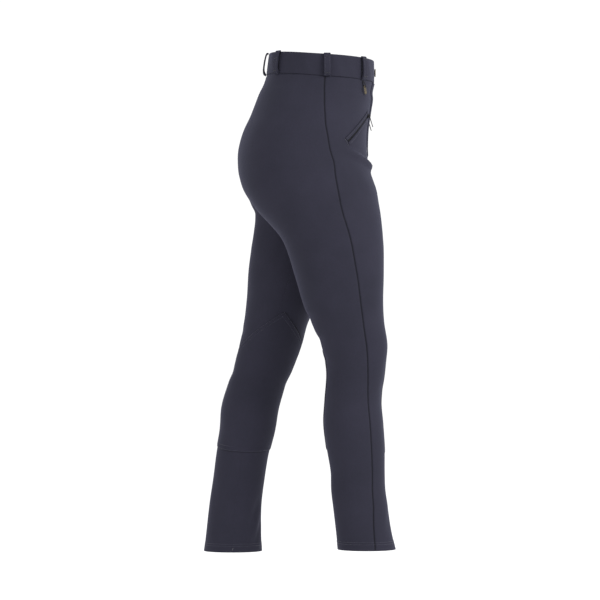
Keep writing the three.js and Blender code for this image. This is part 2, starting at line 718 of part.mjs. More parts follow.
function makePull(side) {
  const top = PIN_SIZE / 2;
  const outline = new THREE.Shape();
  const half = PULL_WIDTH / 2;
  outline.moveTo(-half, top - 0.5);
  outline.lineTo(-half, -EYE_LENGTH - 0.6);
  outline.lineTo(-PULL_TAIL / 2, -EYE_LENGTH - 3);
  outline.lineTo(-PULL_TAIL / 2, -PULL_LENGTH + 1);
  outline.lineTo(-PULL_TAIL / 2 + 0.8, -PULL_LENGTH);
  outline.lineTo(PULL_TAIL / 2 - 0.8, -PULL_LENGTH);
  outline.lineTo(PULL_TAIL / 2, -PULL_LENGTH + 1);
  outline.lineTo(PULL_TAIL / 2, -EYE_LENGTH - 3);
  outline.lineTo(half, -EYE_LENGTH - 0.6);
  outline.lineTo(half, top - 0.5);
  outline.lineTo(half - 0.5, top);
  outline.lineTo(-half + 0.5, top);
  const eye = new THREE.Path([
    new THREE.Vector2(-EYE_WIDTH / 2, -top),
    new THREE.Vector2(EYE_WIDTH / 2, -top),
    new THREE.Vector2(EYE_WIDTH / 2, -EYE_LENGTH - top),
    new THREE.Vector2(-EYE_WIDTH / 2, -EYE_LENGTH - top),
  ]);
  outline.holes.push(eye);
  const geometry = new THREE.ExtrudeGeometry(outline, { depth: PULL_THICKNESS, bevelEnabled: false });
  geometry.translate(0, 0, -PULL_THICKNESS / 2);
  geometry.rotateX(-PULL_LEAN);
  geometry.translate(0, 0, PIN_HEIGHT);
  const mesh = makeMesh("pocket_pull_" + side.name, geometry, BLACK_METAL);
  mesh.applyMatrix4(sliderFrame(side));
  return mesh;
}

// Brass tag on a short cord below the right front belt loop. The cord comes out of the waist seam, passes
// through the tag's eye and goes back up behind it. In the tag's own frame X is level and parallel to the
// cloth, Y points up and Z out, with the origin in the middle of the eye.
const TAG_LENGTH = 17;
const TAG_WIDTH = 6.6;
const TAG_THICKNESS = 1.2;
const TAG_EYE = 3.2;
const TAG_LEAN = THREE.MathUtils.degToRad(14);
const TAG_DROP = 14.5; // of the eye below the waist seam
const TAG_LIFT = 2.4; // of the tag's middle from the band's face
const CORD_SIZE = 1.8;
const CORD_LEAN = 4.5; // of the cord's foot towards the centre front from its top

function tagFrame() {
  const z = PANEL_TOP - TAG_DROP;
  const angle = BELT_LOOPS.find((loop) => loop.name === "belt_loop_front_right").angle;
  const outwards = bandOutwards(angle);
  const level = new THREE.Vector3(0, 0, 1).cross(outwards).normalize();
  const upwards = new THREE.Vector3(0, 0, 1);
  const seam = bandPoint(BAND_BOTTOM, angle, 0);
  const origin = seam
    .addScaledVector(outwards, TAG_LIFT)
    .addScaledVector(level, CORD_LEAN)
    .add(new THREE.Vector3(0, 0, z - BAND_BOTTOM));
  return new THREE.Matrix4().makeBasis(level, upwards, outwards).setPosition(origin);
}

function makeBrassTag() {
  const half = TAG_WIDTH / 2;
  const foot = TAG_EYE - TAG_LENGTH;
  const shape = new THREE.Shape();
  shape.moveTo(-half, 0);
  shape.lineTo(-half, foot + half);
  shape.absarc(0, foot + half, half, Math.PI, 2 * Math.PI);
  shape.lineTo(half, 0);
  shape.absarc(0, 0, half, 0, Math.PI);
  const eye = new THREE.Path();
  eye.absarc(0, 0, TAG_EYE / 2, 0, 2 * Math.PI, true);
  shape.holes.push(eye);
  const geometry = new THREE.ExtrudeGeometry(shape, {
    depth: TAG_THICKNESS,
    bevelEnabled: false,
    curveSegments: 8,
  });
  geometry.translate(0, 0, -TAG_THICKNESS / 2);
  geometry.rotateZ(TAG_LEAN);
  const mesh = makeMesh("brass_tag", geometry, BRASS);
  mesh.applyMatrix4(tagFrame());
  return mesh;
}

function makeTagCord() {
  const top = TAG_DROP - 3.2;
  const curve = new THREE.CatmullRomCurve3([
    new THREE.Vector3(-CORD_LEAN, top, 0.4),
    new THREE.Vector3(-2.8, 7.4, 2),
    new THREE.Vector3(-0.5, 2.6, 2.4),
    new THREE.Vector3(0, 0, 1),
    new THREE.Vector3(0, 0, -1),
    new THREE.Vector3(-0.5, 2.6, -2.3),
    new THREE.Vector3(-3, 7.2, -2.1),
    new THREE.Vector3(-CORD_LEAN, top, -1.6),
  ]);
  const section = new THREE.Shape();
  const corners = 8;
  for (let corner = 0; corner < corners; corner += 1) {
    const turn = (2 * Math.PI * corner) / corners;
    const [x, y] = [Math.cos(turn) * (CORD_SIZE / 2), Math.sin(turn) * (CORD_SIZE / 2)];
    if (corner === 0) section.moveTo(x, y);
    else section.lineTo(x, y);
  }
  const geometry = new THREE.ExtrudeGeometry(section, { steps: 22, extrudePath: curve });
  const mesh = makeMesh("tag_cord", geometry, BLACK_CORD);
  mesh.applyMatrix4(tagFrame());
  return mesh;
}

// The whole garment

const breeches = new THREE.Group();
for (const side of SIDES) {
  breeches.add(makePanel(side, true), makePanel(side, false), makeKneePatch(side));
  breeches.add(...makePocket(side), makeSlider(side), makePull(side));
}
breeches.add(makeWaistband(), makeFly(), makeButton(), makeTagCord(), makeBrassTag());
breeches.add(...BELT_LOOPS.map(makeBeltLoop));

export default breeches;
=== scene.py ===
"""Riding breeches as they are worn, in mid stride: the cloth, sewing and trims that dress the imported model.

Lengths are millimetres until a mesh is made, whose points are metres in the row frame. +X is forwards,
+Y the wearer's left and +Z up, and the origin is the middle of the waistband's ring.
"""

import logging
import math
from dataclasses import dataclass
from enum import Enum

import bpy
import numpy as np
from mathutils import Matrix, Vector

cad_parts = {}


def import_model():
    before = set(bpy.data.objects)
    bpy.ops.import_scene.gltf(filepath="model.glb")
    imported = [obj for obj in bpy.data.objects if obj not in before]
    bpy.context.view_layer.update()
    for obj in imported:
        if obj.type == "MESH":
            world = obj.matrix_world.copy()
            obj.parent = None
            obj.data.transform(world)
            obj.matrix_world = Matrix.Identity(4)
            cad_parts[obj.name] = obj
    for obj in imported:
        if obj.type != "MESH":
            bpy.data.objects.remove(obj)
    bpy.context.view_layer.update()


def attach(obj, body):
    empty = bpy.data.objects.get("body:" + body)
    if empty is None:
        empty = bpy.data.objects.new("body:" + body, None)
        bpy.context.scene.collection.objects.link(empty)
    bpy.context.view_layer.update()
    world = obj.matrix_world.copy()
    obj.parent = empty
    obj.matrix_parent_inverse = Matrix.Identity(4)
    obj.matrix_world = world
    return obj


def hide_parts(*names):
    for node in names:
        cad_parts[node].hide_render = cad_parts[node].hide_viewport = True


LOG = logging.getLogger("breeches")
MM = 0.001

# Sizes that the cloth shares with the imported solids
SEAM_GAP = 0.3
SEWN_GAP = 0.03
CLOTH = 1.8
BAND_CLOTH = 3.0
BAND_TOP = 21.0
BAND_BOTTOM = -20.7
BAND_SLOPE = -0.059
BAND_SAG = 2.6
SAG_BACK = -107.0
SAG_SIDE = -7.0
BAND_SQUARE = 2.2
SLOPE_END = -120.0
PANEL_TOP = BAND_BOTTOM - SEAM_GAP
CROTCH = -269.0
RISE_HEIGHT = 130.0
RISE_TOP = CROTCH + RISE_HEIGHT
RISE_BOTTOM_BEND = 1.3
RISE_TOP_BEND = 1.6
LEG_ROUND = -330.0
INSEAM_RUN = 110.0
EDGE_RUN = 0.45
SIDE_LINE = math.pi / 2


class Body(Enum):
    """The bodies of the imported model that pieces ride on."""

    GARMENT = "garment"
    PULL_RIGHT = "pull_right"
    PULL_LEFT = "pull_left"
    TAG = "tag"


class Slot(Enum):
    """The record's material slots."""

    CLOTH = "navy_cloth"
    BAND = "navy_band_cloth"
    CORD = "black_cord"
    ZIP = "black_zip"
    BLACK_METAL = "black_metal"
    BRASS = "antique_brass"


@dataclass(frozen=True)
class Cut:
    """Widths that both halves share at one height, how square the section is, and where the side seam lies."""

    z: float
    outer: float
    inner: float
    square: float
    seam: float


@dataclass(frozen=True)
class Depth:
    """Front and back outline of one half at one height."""

    z: float
    front: float
    back: float


CUTS = (
    Cut(z=-21, outer=128.6, inner=0, square=2.2, seam=0.46),
    Cut(z=-52, outer=138, inner=0, square=2.25, seam=0.43),
    Cut(z=-78, outer=146, inner=0, square=2.3, seam=0.4),
    Cut(z=-112, outer=156, inner=0, square=2.3, seam=0.353),
    Cut(z=-139, outer=163, inner=0, square=2.3, seam=0.315),
    Cut(z=-176, outer=169, inner=0, square=2.3, seam=0.286),
    Cut(z=-213, outer=172, inner=0, square=2.25, seam=0.288),
    Cut(z=-247, outer=172, inner=0, square=2.2, seam=0.3),
    Cut(z=-269, outer=171.4, inner=0, square=2.15, seam=0.313),
    Cut(z=-300, outer=169.7, inner=3, square=2.1, seam=0.326),
    Cut(z=-354, outer=165, inner=6, square=2.1, seam=0.327),
    Cut(z=-438, outer=156, inner=11, square=2.1, seam=0.29),
    Cut(z=-481, outer=149, inner=15, square=2.1, seam=0.292),
    Cut(z=-530, outer=139, inner=20, square=2.15, seam=0.328),
    Cut(z=-580, outer=132, inner=24.5, square=2.15, seam=0.3),
    Cut(z=-637, outer=131.5, inner=23, square=2.1, seam=0.236),
    Cut(z=-680, outer=133, inner=22, square=2.1, seam=0.226),
    Cut(z=-723, outer=132, inner=23, square=2.1, seam=0.233),
    Cut(z=-776, outer=127.5, inner=25, square=2.1, seam=0.238),
    Cut(z=-821, outer=125, inner=26.5, square=2.1, seam=0.258),
    Cut(z=-862, outer=125, inner=25, square=2.15, seam=0.305),
    Cut(z=-932, outer=126.5, inner=21.5, square=2.15, seam=0.375),
)

SHARED_DEPTHS = (
    Depth(z=-21, front=99.6, back=-105.6),
    Depth(z=-40, front=95.7, back=-112.2),
    Depth(z=-55, front=96.3, back=-120.1),
    Depth(z=-76, front=93.6, back=-129),
    Depth(z=-96, front=90.9, back=-137.7),
    Depth(z=-119, front=88, back=-149.3),
    Depth(z=-142, front=86.8, back=-156.8),
)

RIGHT_DEPTHS = SHARED_DEPTHS + (
    Depth(z=-165, front=87.6, back=-160.8),
    Depth(z=-194, front=95.4, back=-160),
    Depth(z=-211, front=97.5, back=-157),
    Depth(z=-234, front=102.5, back=-149.5),
    Depth(z=-257, front=107, back=-136.5),
    Depth(z=-275, front=110.2, back=-124),
    Depth(z=-300, front=113, back=-100.5),
    Depth(z=-325, front=115.2, back=-79.5),
    Depth(z=-350, front=117, back=-67),
    Depth(z=-400, front=117.3, back=-51.7),
    Depth(z=-450, front=115.8, back=-36.5),
    Depth(z=-487, front=117.8, back=-20.5),
    Depth(z=-532, front=124.4, back=-0.9),
    Depth(z=-578, front=119.2, back=8.8),
    Depth(z=-635, front=111.5, back=6),
    Depth(z=-680, front=115.6, back=3.6),
    Depth(z=-725, front=118.4, back=8.7),
    Depth(z=-770, front=118.8, back=16),
    Depth(z=-805, front=120.2, back=17.2),
    Depth(z=-838, front=125.2, back=21.4),
    Depth(z=-872, front=129.9, back=25.2),
    Depth(z=-917.5, front=139.5, back=29.5),
)

LEFT_DEPTHS = SHARED_DEPTHS + (
    Depth(z=-165, front=86, back=-160.8),
    Depth(z=-194, front=82.5, back=-160),
    Depth(z=-211, front=79, back=-157),
    Depth(z=-234, front=73.5, back=-149.5),
    Depth(z=-257, front=67.5, back=-138),
    Depth(z=-282, front=61, back=-128.5),
    Depth(z=-312, front=52.5, back=-129.8),
    Depth(z=-348, front=41, back=-136.8),
    Depth(z=-395, front=21, back=-143),
    Depth(z=-445, front=-3.5, back=-145.6),
    Depth(z=-488, front=-25.5, back=-150.5),
    Depth(z=-535, front=-38.5, back=-159.5),
    Depth(z=-582, front=-57.9, back=-170.3),
    Depth(z=-605, front=-69, back=-179.2),
    Depth(z=-652, front=-83, back=-192.8),
    Depth(z=-698, front=-91, back=-196.8),
    Depth(z=-745, front=-103, back=-204.6),
    Depth(z=-792, front=-110.4, back=-210.7),
    Depth(z=-839, front=-116.2, back=-217.1),
    Depth(z=-885, front=-117, back=-222.7),
    Depth(z=-932, front=-116, back=-228.4),
)


def smooth(share: np.ndarray | float) -> np.ndarray:
    """An S-shaped step from 0 to 1."""
    held = np.clip(share, 0.0, 1.0)
    return held * held * (3 - 2 * held)


def signed_power(value: np.ndarray, power: np.ndarray | float) -> np.ndarray:
    """A power that keeps the value's sign."""
    return np.sign(value) * np.abs(value) ** power


def bell(distance: np.ndarray, width: float) -> np.ndarray:
    """A soft bump of height 1 about distance 0."""
    return np.exp(-((distance / width) ** 2))


def fall_at(x: np.ndarray) -> np.ndarray:
    """How far the tilt of the waist moves a place up, by its distance forwards."""
    return BAND_SLOPE * x - BAND_SAG * smooth((x - SAG_BACK) / (SAG_SIDE - SAG_BACK))


class Curve:
    """A smooth curve through a table's rows, which run downwards."""

    def __init__(self, heights: list[float], values: list[float]) -> None:
        """Keeps the rows and the slope at each, taken from the rows beside it."""
        self.heights = np.array(heights, float)
        self.values = np.array(values, float)
        last = len(heights) - 1
        before = np.maximum(np.arange(last + 1) - 1, 0)
        after = np.minimum(np.arange(last + 1) + 1, last)
        rise = self.heights[after] - self.heights[before]
        self.slopes = (self.values[after] - self.values[before]) / rise

    def __call__(self, z: np.ndarray) -> np.ndarray:
        """The values at these heights."""
        found = np.searchsorted(-self.heights, -z, side="left")
        after = np.clip(found, 1, len(self.heights) - 1)
        span = self.heights[after] - self.heights[after - 1]
        share = np.clip((z - self.heights[after - 1]) / span, 0, 1)
        square, cube = share**2, share**3
        return (
            (2 * cube - 3 * square + 1) * self.values[after - 1]
            + (cube - 2 * square + share) * span * self.slopes[after - 1]
            + (3 * square - 2 * cube) * self.values[after]
            + (cube - square) * span * self.slopes[after]
        )


def curve_of(rows: tuple, column: str) -> Curve:
    """One column of a table as a curve over its heights."""
    return Curve([row.z for row in rows], [getattr(row, column) for row in rows])


def spline(places: np.ndarray, steps: int) -> np.ndarray:
    """Close-set points on a smooth curve through these places, with so many steps from one to the next."""
    padded = np.vstack([2 * places[0] - places[1], places, 2 * places[-1] - places[-2]])
    share = np.linspace(0, 1, steps, endpoint=False)[:, None]
    spans = []
    for index in range(1, len(padded) - 2):
        a, b, c, d = padded[index - 1 : index + 3]
        square = share**2 * (2 * a - 5 * b + 4 * c - d) / 2
        cube = share**3 * (3 * b - a - 3 * c + d) / 2
        spans.append(b + share * (c - a) / 2 + square + cube)
    return np.vstack([*spans, places[-1:]])


@dataclass(frozen=True)
class Half:
    """One half of the breeches: its side of the middle plane, outline curves and hem."""

    name: str
    hand: int
    hem: float
    front: Curve
    back: Curve

    @classmethod
    def of(cls, name: str, hand: int, hem: float, depths: tuple[Depth, ...]) -> "Half":
        """A half from its table of depths."""
        return cls(name, hand, hem, curve_of(depths, "front"), curve_of(depths, "back"))


RIGHT = Half.of("right", -1, -917.5, RIGHT_DEPTHS)
LEFT = Half.of("left", 1, -932.0, LEFT_DEPTHS)
HALVES = (RIGHT, LEFT)


@dataclass
class Section:
    """Level sections of one half: rounded loops about their middles, between two edge angles."""

    middle_x: np.ndarray
    middle_y: np.ndarray
    reach: np.ndarray
    square: np.ndarray
    half_out: np.ndarray
    half_in: np.ndarray
    start: np.ndarray
    end: np.ndarray
    seam: np.ndarray
    front_edge: np.ndarray
    back_edge: np.ndarray


@dataclass
class Girth:
    """Cloth lengths round the sections at several heights, measured from the side line towards the back."""

    angles: np.ndarray
    lengths: np.ndarray
    seams: np.ndarray

    def angle_at(self, lengths: np.ndarray) -> np.ndarray:
        """Angles of these lengths, a row of them for each height."""
        rows = zip(lengths, self.lengths, self.angles)
        return np.array([np.interp(row, known, angles) for row, known, angles in rows])

    def length_at(self, angles: np.ndarray) -> np.ndarray:
        """Lengths of these angles, a row of them for each height."""
        rows = zip(angles, self.angles, self.lengths)
        return np.array([np.interp(row, known, lengths) for row, known, lengths in rows])

    @property
    def start(self) -> np.ndarray:
        """The front edge, at the centre front or the inseam."""
        return self.lengths[:, 0]

    @property
    def end(self) -> np.ndarray:
        """The back edge, at the centre back or the inseam."""
        return self.lengths[:, -1]


class Form:
    """The hollow form that the worn cloth keeps, worked out from the cut's tables."""

    steps = 72
    turn = 0.004
    rise = 0.8

    def __init__(self) -> None:
        """Makes a curve of each column that both halves share."""
        names = ("outer", "inner", "square", "seam")
        self.cut = {name: curve_of(CUTS, name) for name in names}

    def own_section(self, half: Half, z: np.ndarray) -> Section:
        """Sections of one half by itself.

        Args:
            half: The half.
            z: Heights, of any shape.

        Returns:
            The sections, with arrays shaped like z.
        """
        front, back = half.front(z), half.back(z)
        outer, inner = self.cut["outer"](z), self.cut["inner"](z)
        square = self.cut["square"](z)
        opened = np.clip((z - CROTCH) / RISE_HEIGHT, 0, 1)
        parting = (1 - opened**RISE_BOTTOM_BEND) ** RISE_TOP_BEND
        middle_x, reach = (front + back) / 2, (front - back) / 2
        middle_y = (outer + inner) / 2 * smooth((RISE_TOP - z) / (RISE_TOP - LEG_ROUND))
        above = middle_y / np.maximum(parting, 1e-6)
        start = -np.arcsin(parting ** (square / 2))
        edge = reach * np.maximum(np.cos(start), 0) ** (2 / square)
        behind = signed_power(1 - 2 * self.cut["seam"](z), square / 2)
        return Section(
            middle_x=middle_x,
            middle_y=middle_y,
            reach=reach,
            square=square,
            half_out=outer - middle_y,
            half_in=np.where(z > CROTCH, above, middle_y - inner),
            start=start,
            end=math.pi - start,
            seam=np.arccos(behind),
            front_edge=middle_x + edge,
            back_edge=middle_x - edge,
        )

    def points(self, half: Half, z: np.ndarray, angle: np.ndarray) -> np.ndarray:
        """Points of the smooth outer face.

        Args:
            half: The half.
            z: Heights.
            angle: Angles round the section: 0 in front, a quarter turn at the side.

        Returns:
            The points, with a last axis of three.
        """
        z, angle = np.broadcast_arrays(np.asarray(z, float), np.asarray(angle, float))
        own = self.own_section(half, z)
        other = self.own_section(LEFT if half is RIGHT else RIGHT, z)
        hold = np.where(z >= CROTCH, 1.0, 1 - smooth((CROTCH - z) / INSEAM_RUN))
        across = signed_power(np.sin(angle), 2 / own.square)
        forwards = signed_power(np.cos(angle), 2 / own.square)
        from_front = (angle - own.start) / (own.seam - own.start)
        from_back = (own.end - angle) / (own.end - own.seam)
        front_pull = hold * (other.front_edge - own.front_edge) / 2
        back_pull = hold * (other.back_edge - own.back_edge) / 2
        x = own.middle_x + own.reach * forwards
        x = x + front_pull * (1 - smooth(from_front / EDGE_RUN))
        x = x + back_pull * (1 - smooth(from_back / EDGE_RUN))
        width = np.where(across > 0, own.half_out, own.half_in)
        y = own.middle_y + width * across + SEWN_GAP
        share = smooth((z - SLOPE_END) / (PANEL_TOP - SLOPE_END))
        return np.stack([x, half.hand * y, z + share * fall_at(x)], axis=-1)

    def normals(self, half: Half, z: np.ndarray, angle: np.ndarray) -> np.ndarray:
        """Outward directions of the smooth face at the same places."""
        along = self.points(half, z, angle + self.turn) - self.points(half, z, angle - self.turn)
        up = self.points(half, z + self.rise, angle) - self.points(half, z - self.rise, angle)
        outwards = np.cross(along, up) * half.hand
        return outwards / np.linalg.norm(outwards, axis=-1, keepdims=True)

    def girth(self, half: Half, z: np.ndarray) -> Girth:
        """Cloth lengths round the section at each height."""
        own = self.own_section(half, z)
        share = np.linspace(0, 1, self.steps + 1)[None, :]
        start, seam, end = own.start[:, None], own.seam[:, None], own.end[:, None]
        fronts = start + (seam - start) * share
        backs = seam + (end - seam) * share[:, 1:]
        angles = np.concatenate([fronts, backs], axis=1)
        steps = np.diff(self.points(half, z[:, None], angles), axis=1)
        lengths = np.cumsum(np.linalg.norm(steps, axis=-1), axis=1)
        lengths = np.concatenate([np.zeros((len(z), 1)), lengths], axis=1)
        girth = Girth(angles, lengths, np.zeros(len(z)))
        girth.lengths = lengths - girth.length_at(np.full((len(z), 1), SIDE_LINE))
        girth.seams = girth.length_at(own.seam[:, None])[:, 0]
        return girth


@dataclass(frozen=True)
class Fold:
    """A soft trough in the cloth along a path of (degrees round the section, height), with a ridge beside it.

    A depth below 0 makes a ridge. Degrees run on past the inseam, below -90 or above 270.
    """

    half: Half
    path: tuple[tuple[float, float], ...]
    depth: float
    width: float
    ridge: float = 0.35


FOLDS = (
    # The bend of the raised right thigh, at the groin, and the softer one of the left
    Fold(RIGHT, ((60, -160), (36, -175), (12, -190), (-14, -191)), -5.6, 6.2, 0.15),
    Fold(RIGHT, ((60, -146), (38, -163), (14, -176), (-10, -177)), 0.8, 3.4, 0),
    Fold(RIGHT, ((-8, -235), (20, -234), (50, -222)), -2.2, 20, 0),
    Fold(LEFT, ((-14, -190), (14, -192), (38, -182), (60, -163)), 1.9, 8, 0.6),
    Fold(LEFT, ((0, -223), (22, -226), (46, -218)), 1.1, 9, 0.3),
    # Soft pulls below the waistband and between the pocket and the side seam
    Fold(RIGHT, ((22, -40), (44, -44), (66, -41)), 1.1, 5.5, 0.4),
    Fold(RIGHT, ((30, -56), (52, -62), (74, -58)), 0.9, 7, 0.3),
    Fold(LEFT, ((20, -44), (44, -47), (70, -42)), 0.7, 6, 0.3),
    Fold(RIGHT, ((104, -36), (126, -40), (146, -38)), 0.5, 7, 0.2),
    Fold(LEFT, ((108, -38), (130, -41), (150, -38)), 0.6, 7, 0.2),
    Fold(RIGHT, ((60, -150), (74, -176), (82, -205)), 0.7, 10, 0.2),
    Fold(LEFT, ((58, -152), (72, -180), (80, -212)), 0.7, 10, 0.2),
    # Under the seat
    Fold(LEFT, ((146, -264), (176, -274), (206, -278), (236, -281)), 1.3, 8, 0.25),
    Fold(LEFT, ((140, -312), (176, -316), (226, -312)), -1.7, 28, 0),
    Fold(RIGHT, ((186, -276), (208, -284), (232, -284)), 1.5, 9, 0.4),
    Fold(RIGHT, ((196, -312), (218, -322), (240, -318)), 0.9, 10, 0.3),
    # Between the legs, fanning down from the crotch
    Fold(LEFT, ((-60, -286), (-72, -320), (-78, -362)), 1.1, 8, 0.3),
    Fold(RIGHT, ((-58, -286), (-66, -318), (-70, -354)), 1.1, 8, 0.3),
    Fold(LEFT, ((236, -296), (246, -334), (250, -378)), 1.0, 9, 0.3),
    Fold(RIGHT, ((238, -300), (246, -336), (252, -372)), 1.0, 9, 0.3),
    # Behind the knees
    Fold(LEFT, ((128, -498), (160, -508), (192, -504), (214, -494)), 0.6, 7, 0.4),
    Fold(LEFT, ((140, -540), (170, -549), (204, -541)), 0.7, 7.5, 0.4),
    Fold(LEFT, ((132, -590), (164, -584), (190, -592)), 0.5, 8, 0.3),
    Fold(RIGHT, ((132, -470), (162, -478), (196, -474), (216, -464)), 1.2, 7, 0.4),
    Fold(RIGHT, ((138, -512), (168, -520), (206, -514)), 1.3, 7.5, 0.4),
    Fold(RIGHT, ((148, -560), (176, -556), (204, -562)), 0.8, 8, 0.3),
    # Across the shins, slanting down to the hems
    Fold(LEFT, ((-56, -768), (-78, -820), (-98, -876), (-106, -922)), 1.9, 13, 0.3),
    Fold(LEFT, ((-22, -820), (-46, -864), (-66, -908)), 1.7, 8, 0.5),
    Fold(LEFT, ((-8, -862), (-30, -896), (-48, -928)), 1.2, 6.5, 0.5),
    Fold(LEFT, ((30, -742), (62, -782), (88, -834)), 1.2, 11, 0.3),
    Fold(LEFT, ((118, -800), (96, -846), (82, -900)), 1.3, 11, 0.3),
    Fold(LEFT, ((196, -772), (216, -822), (228, -880)), 0.9, 11, 0.3),
    Fold(RIGHT, ((-6, -832), (18, -858), (40, -896)), 0.9, 9, 0.3),
    Fold(RIGHT, ((150, -742), (132, -790), (118, -846)), 0.8, 12, 0.3),
    Fold(RIGHT, ((-40, -770), (-62, -822), (-84, -884)), 1.3, 11, 0.3),
    Fold(RIGHT, ((214, -760), (236, -812), (246, -872)), 1.1, 11, 0.3),
    # Over the fronts of the knees
    Fold(RIGHT, ((-18, -606), (8, -614), (34, -606)), 0.7, 10, 0.2),
    Fold(LEFT, ((-24, -604), (4, -612), (32, -602)), 0.8, 10, 0.2),
)


@dataclass
class Laid:
    """Places on the creased cloth: points and outward directions, and how far off the seams are.

    The edges are distances to the nearest seam, and the sides are lengths from the side seam, above 0
    towards the back.
    """

    points: np.ndarray
    normals: np.ndarray
    edges: np.ndarray
    sides: np.ndarray

    def lifted(self, lift: np.ndarray | float) -> np.ndarray:
        """The points moved out from the cloth."""
        return self.points + self.normals * np.asarray(lift)[..., None]


class Cloth:
    """The creased cloth of both halves, which every sewn-on piece follows."""

    path_steps = 8
    calm = 30.0

    def __init__(self, form: Form) -> None:
        """Keeps the form."""
        self.form = form

    def path_of(self, fold: Fold) -> np.ndarray:
        """A fold's path as close-set points of (length from the side line, height)."""
        z = np.array([height for _, height in fold.path], float)
        degrees = np.array([turn for turn, _ in fold.path], float)
        girth = self.form.girth(fold.half, z)
        whole = girth.end - girth.start
        turns = np.where(degrees < -90, 1, 0) - np.where(degrees > 270, 1, 0)
        angles = np.radians(degrees + 360 * turns)
        lengths = girth.length_at(angles[:, None])[:, 0] - turns * whole
        places = np.stack([lengths, z], axis=1)
        return spline(places, self.path_steps)

    def crease(self, fold: Fold, lengths: np.ndarray, z: np.ndarray) -> np.ndarray:
        """How far a fold moves the cloth out at these places, which is below 0 in its trough."""
        path = self.path_of(fold)
        reach = 5 * fold.width
        near = (z < path[:, 1].max() + reach) & (z > path[:, 1].min() - reach)
        near &= (lengths < path[:, 0].max() + reach) & (lengths > path[:, 0].min() - reach)
        moved = np.zeros(lengths.shape)
        if not near.any():
            return moved
        places = np.stack([lengths[near], z[near]], axis=-1)[:, None, :]
        starts, runs = path[None, :-1], np.diff(path, axis=0)[None]
        share = ((places - starts) * runs).sum(-1) / (runs**2).sum(-1)
        share = np.clip(share, 0, 1)
        away = places - starts - share[..., None] * runs
        distance = np.linalg.norm(away, axis=-1)
        found = distance.argmin(axis=1)
        index = np.arange(len(found))
        turn = runs[0, found, 0] * away[index, found, 1] - runs[0, found, 1] * away[index, found, 0]
        signed = distance[index, found] * np.sign(turn)
        along = (found + share[index, found]) / runs.shape[1]
        ends = smooth(along / 0.32) * smooth((1 - along) / 0.32)
        trough = bell(signed, fold.width)
        ridge = fold.ridge * bell(signed - 1.9 * fold.width, 1.2 * fold.width)
        moved[near] = -fold.depth * ends * (trough - ridge)
        return moved

    def unevenness(self, lengths: np.ndarray, z: np.ndarray) -> np.ndarray:
        """Slight waves all over the cloth."""
        return (
            0.22 * np.sin(lengths / 19 + z / 53)
            + 0.2 * np.sin(lengths / 41 - z / 29 + 1.3)
            + 0.14 * np.sin(lengths / 13 + z / 17 + 0.7)
        )

    def lay(self, half: Half, z: np.ndarray, lengths: np.ndarray) -> Laid:
        """Finds places on the creased cloth.

        Args:
            half: The half.
            z: One height for each row.
            lengths: Cloth lengths from the side line, a row of them for each height.

        Returns:
            The places, with a row for each height.
        """
        girth = self.form.girth(half, z)
        angles = girth.angle_at(lengths)
        heights = np.broadcast_to(z[:, None], lengths.shape)
        points = self.form.points(half, heights, angles)
        normals = self.form.normals(half, heights, angles)
        seams = (girth.start, girth.seams, girth.end)
        edges = np.min([np.abs(lengths - seam[:, None]) for seam in seams], axis=0)
        moved = self.unevenness(lengths, heights) * smooth(edges / self.calm)
        whole = np.where(z < CROTCH, girth.end - girth.start, 1e6)[:, None]
        for fold in FOLDS:
            if fold.half is half:
                for wrap in (-1, 0, 1):
                    moved = moved + self.crease(fold, lengths + wrap * whole, heights)
        points = points + normals * moved[..., None]
        return Laid(points, normals, edges, lengths - girth.seams[:, None])

    def lay_each(self, half: Half, z: np.ndarray, lengths: np.ndarray) -> Laid:
        """The same for places that each have a height of their own, of any shape."""
        laid = self.lay(half, z.reshape(-1), lengths.reshape(-1, 1))
        vector = (*z.shape, 3)
        return Laid(
            laid.points.reshape(vector),
            laid.normals.reshape(vector),
            laid.edges.reshape(z.shape),
            laid.sides.reshape(z.shape),
        )

    def lay_from_seam(self, half: Half, z: np.ndarray, out: np.ndarray) -> Laid:
        """Places so many millimetres from the front edge, or from the back edge where that is below 0."""
        girth = self.form.girth(half, z.reshape(-1))
        flat = out.reshape(-1)
        lengths = np.where(flat >= 0, girth.start + flat, girth.end + flat)
        return self.lay_each(half, z, lengths.reshape(z.shape))

    def keep_side(self, half: Half, points: np.ndarray) -> np.ndarray:
        """The points, on their own side of the middle plane."""
        kept = points.copy()
        kept[..., 1] = half.hand * np.maximum(half.hand * kept[..., 1], SEWN_GAP)
        return kept


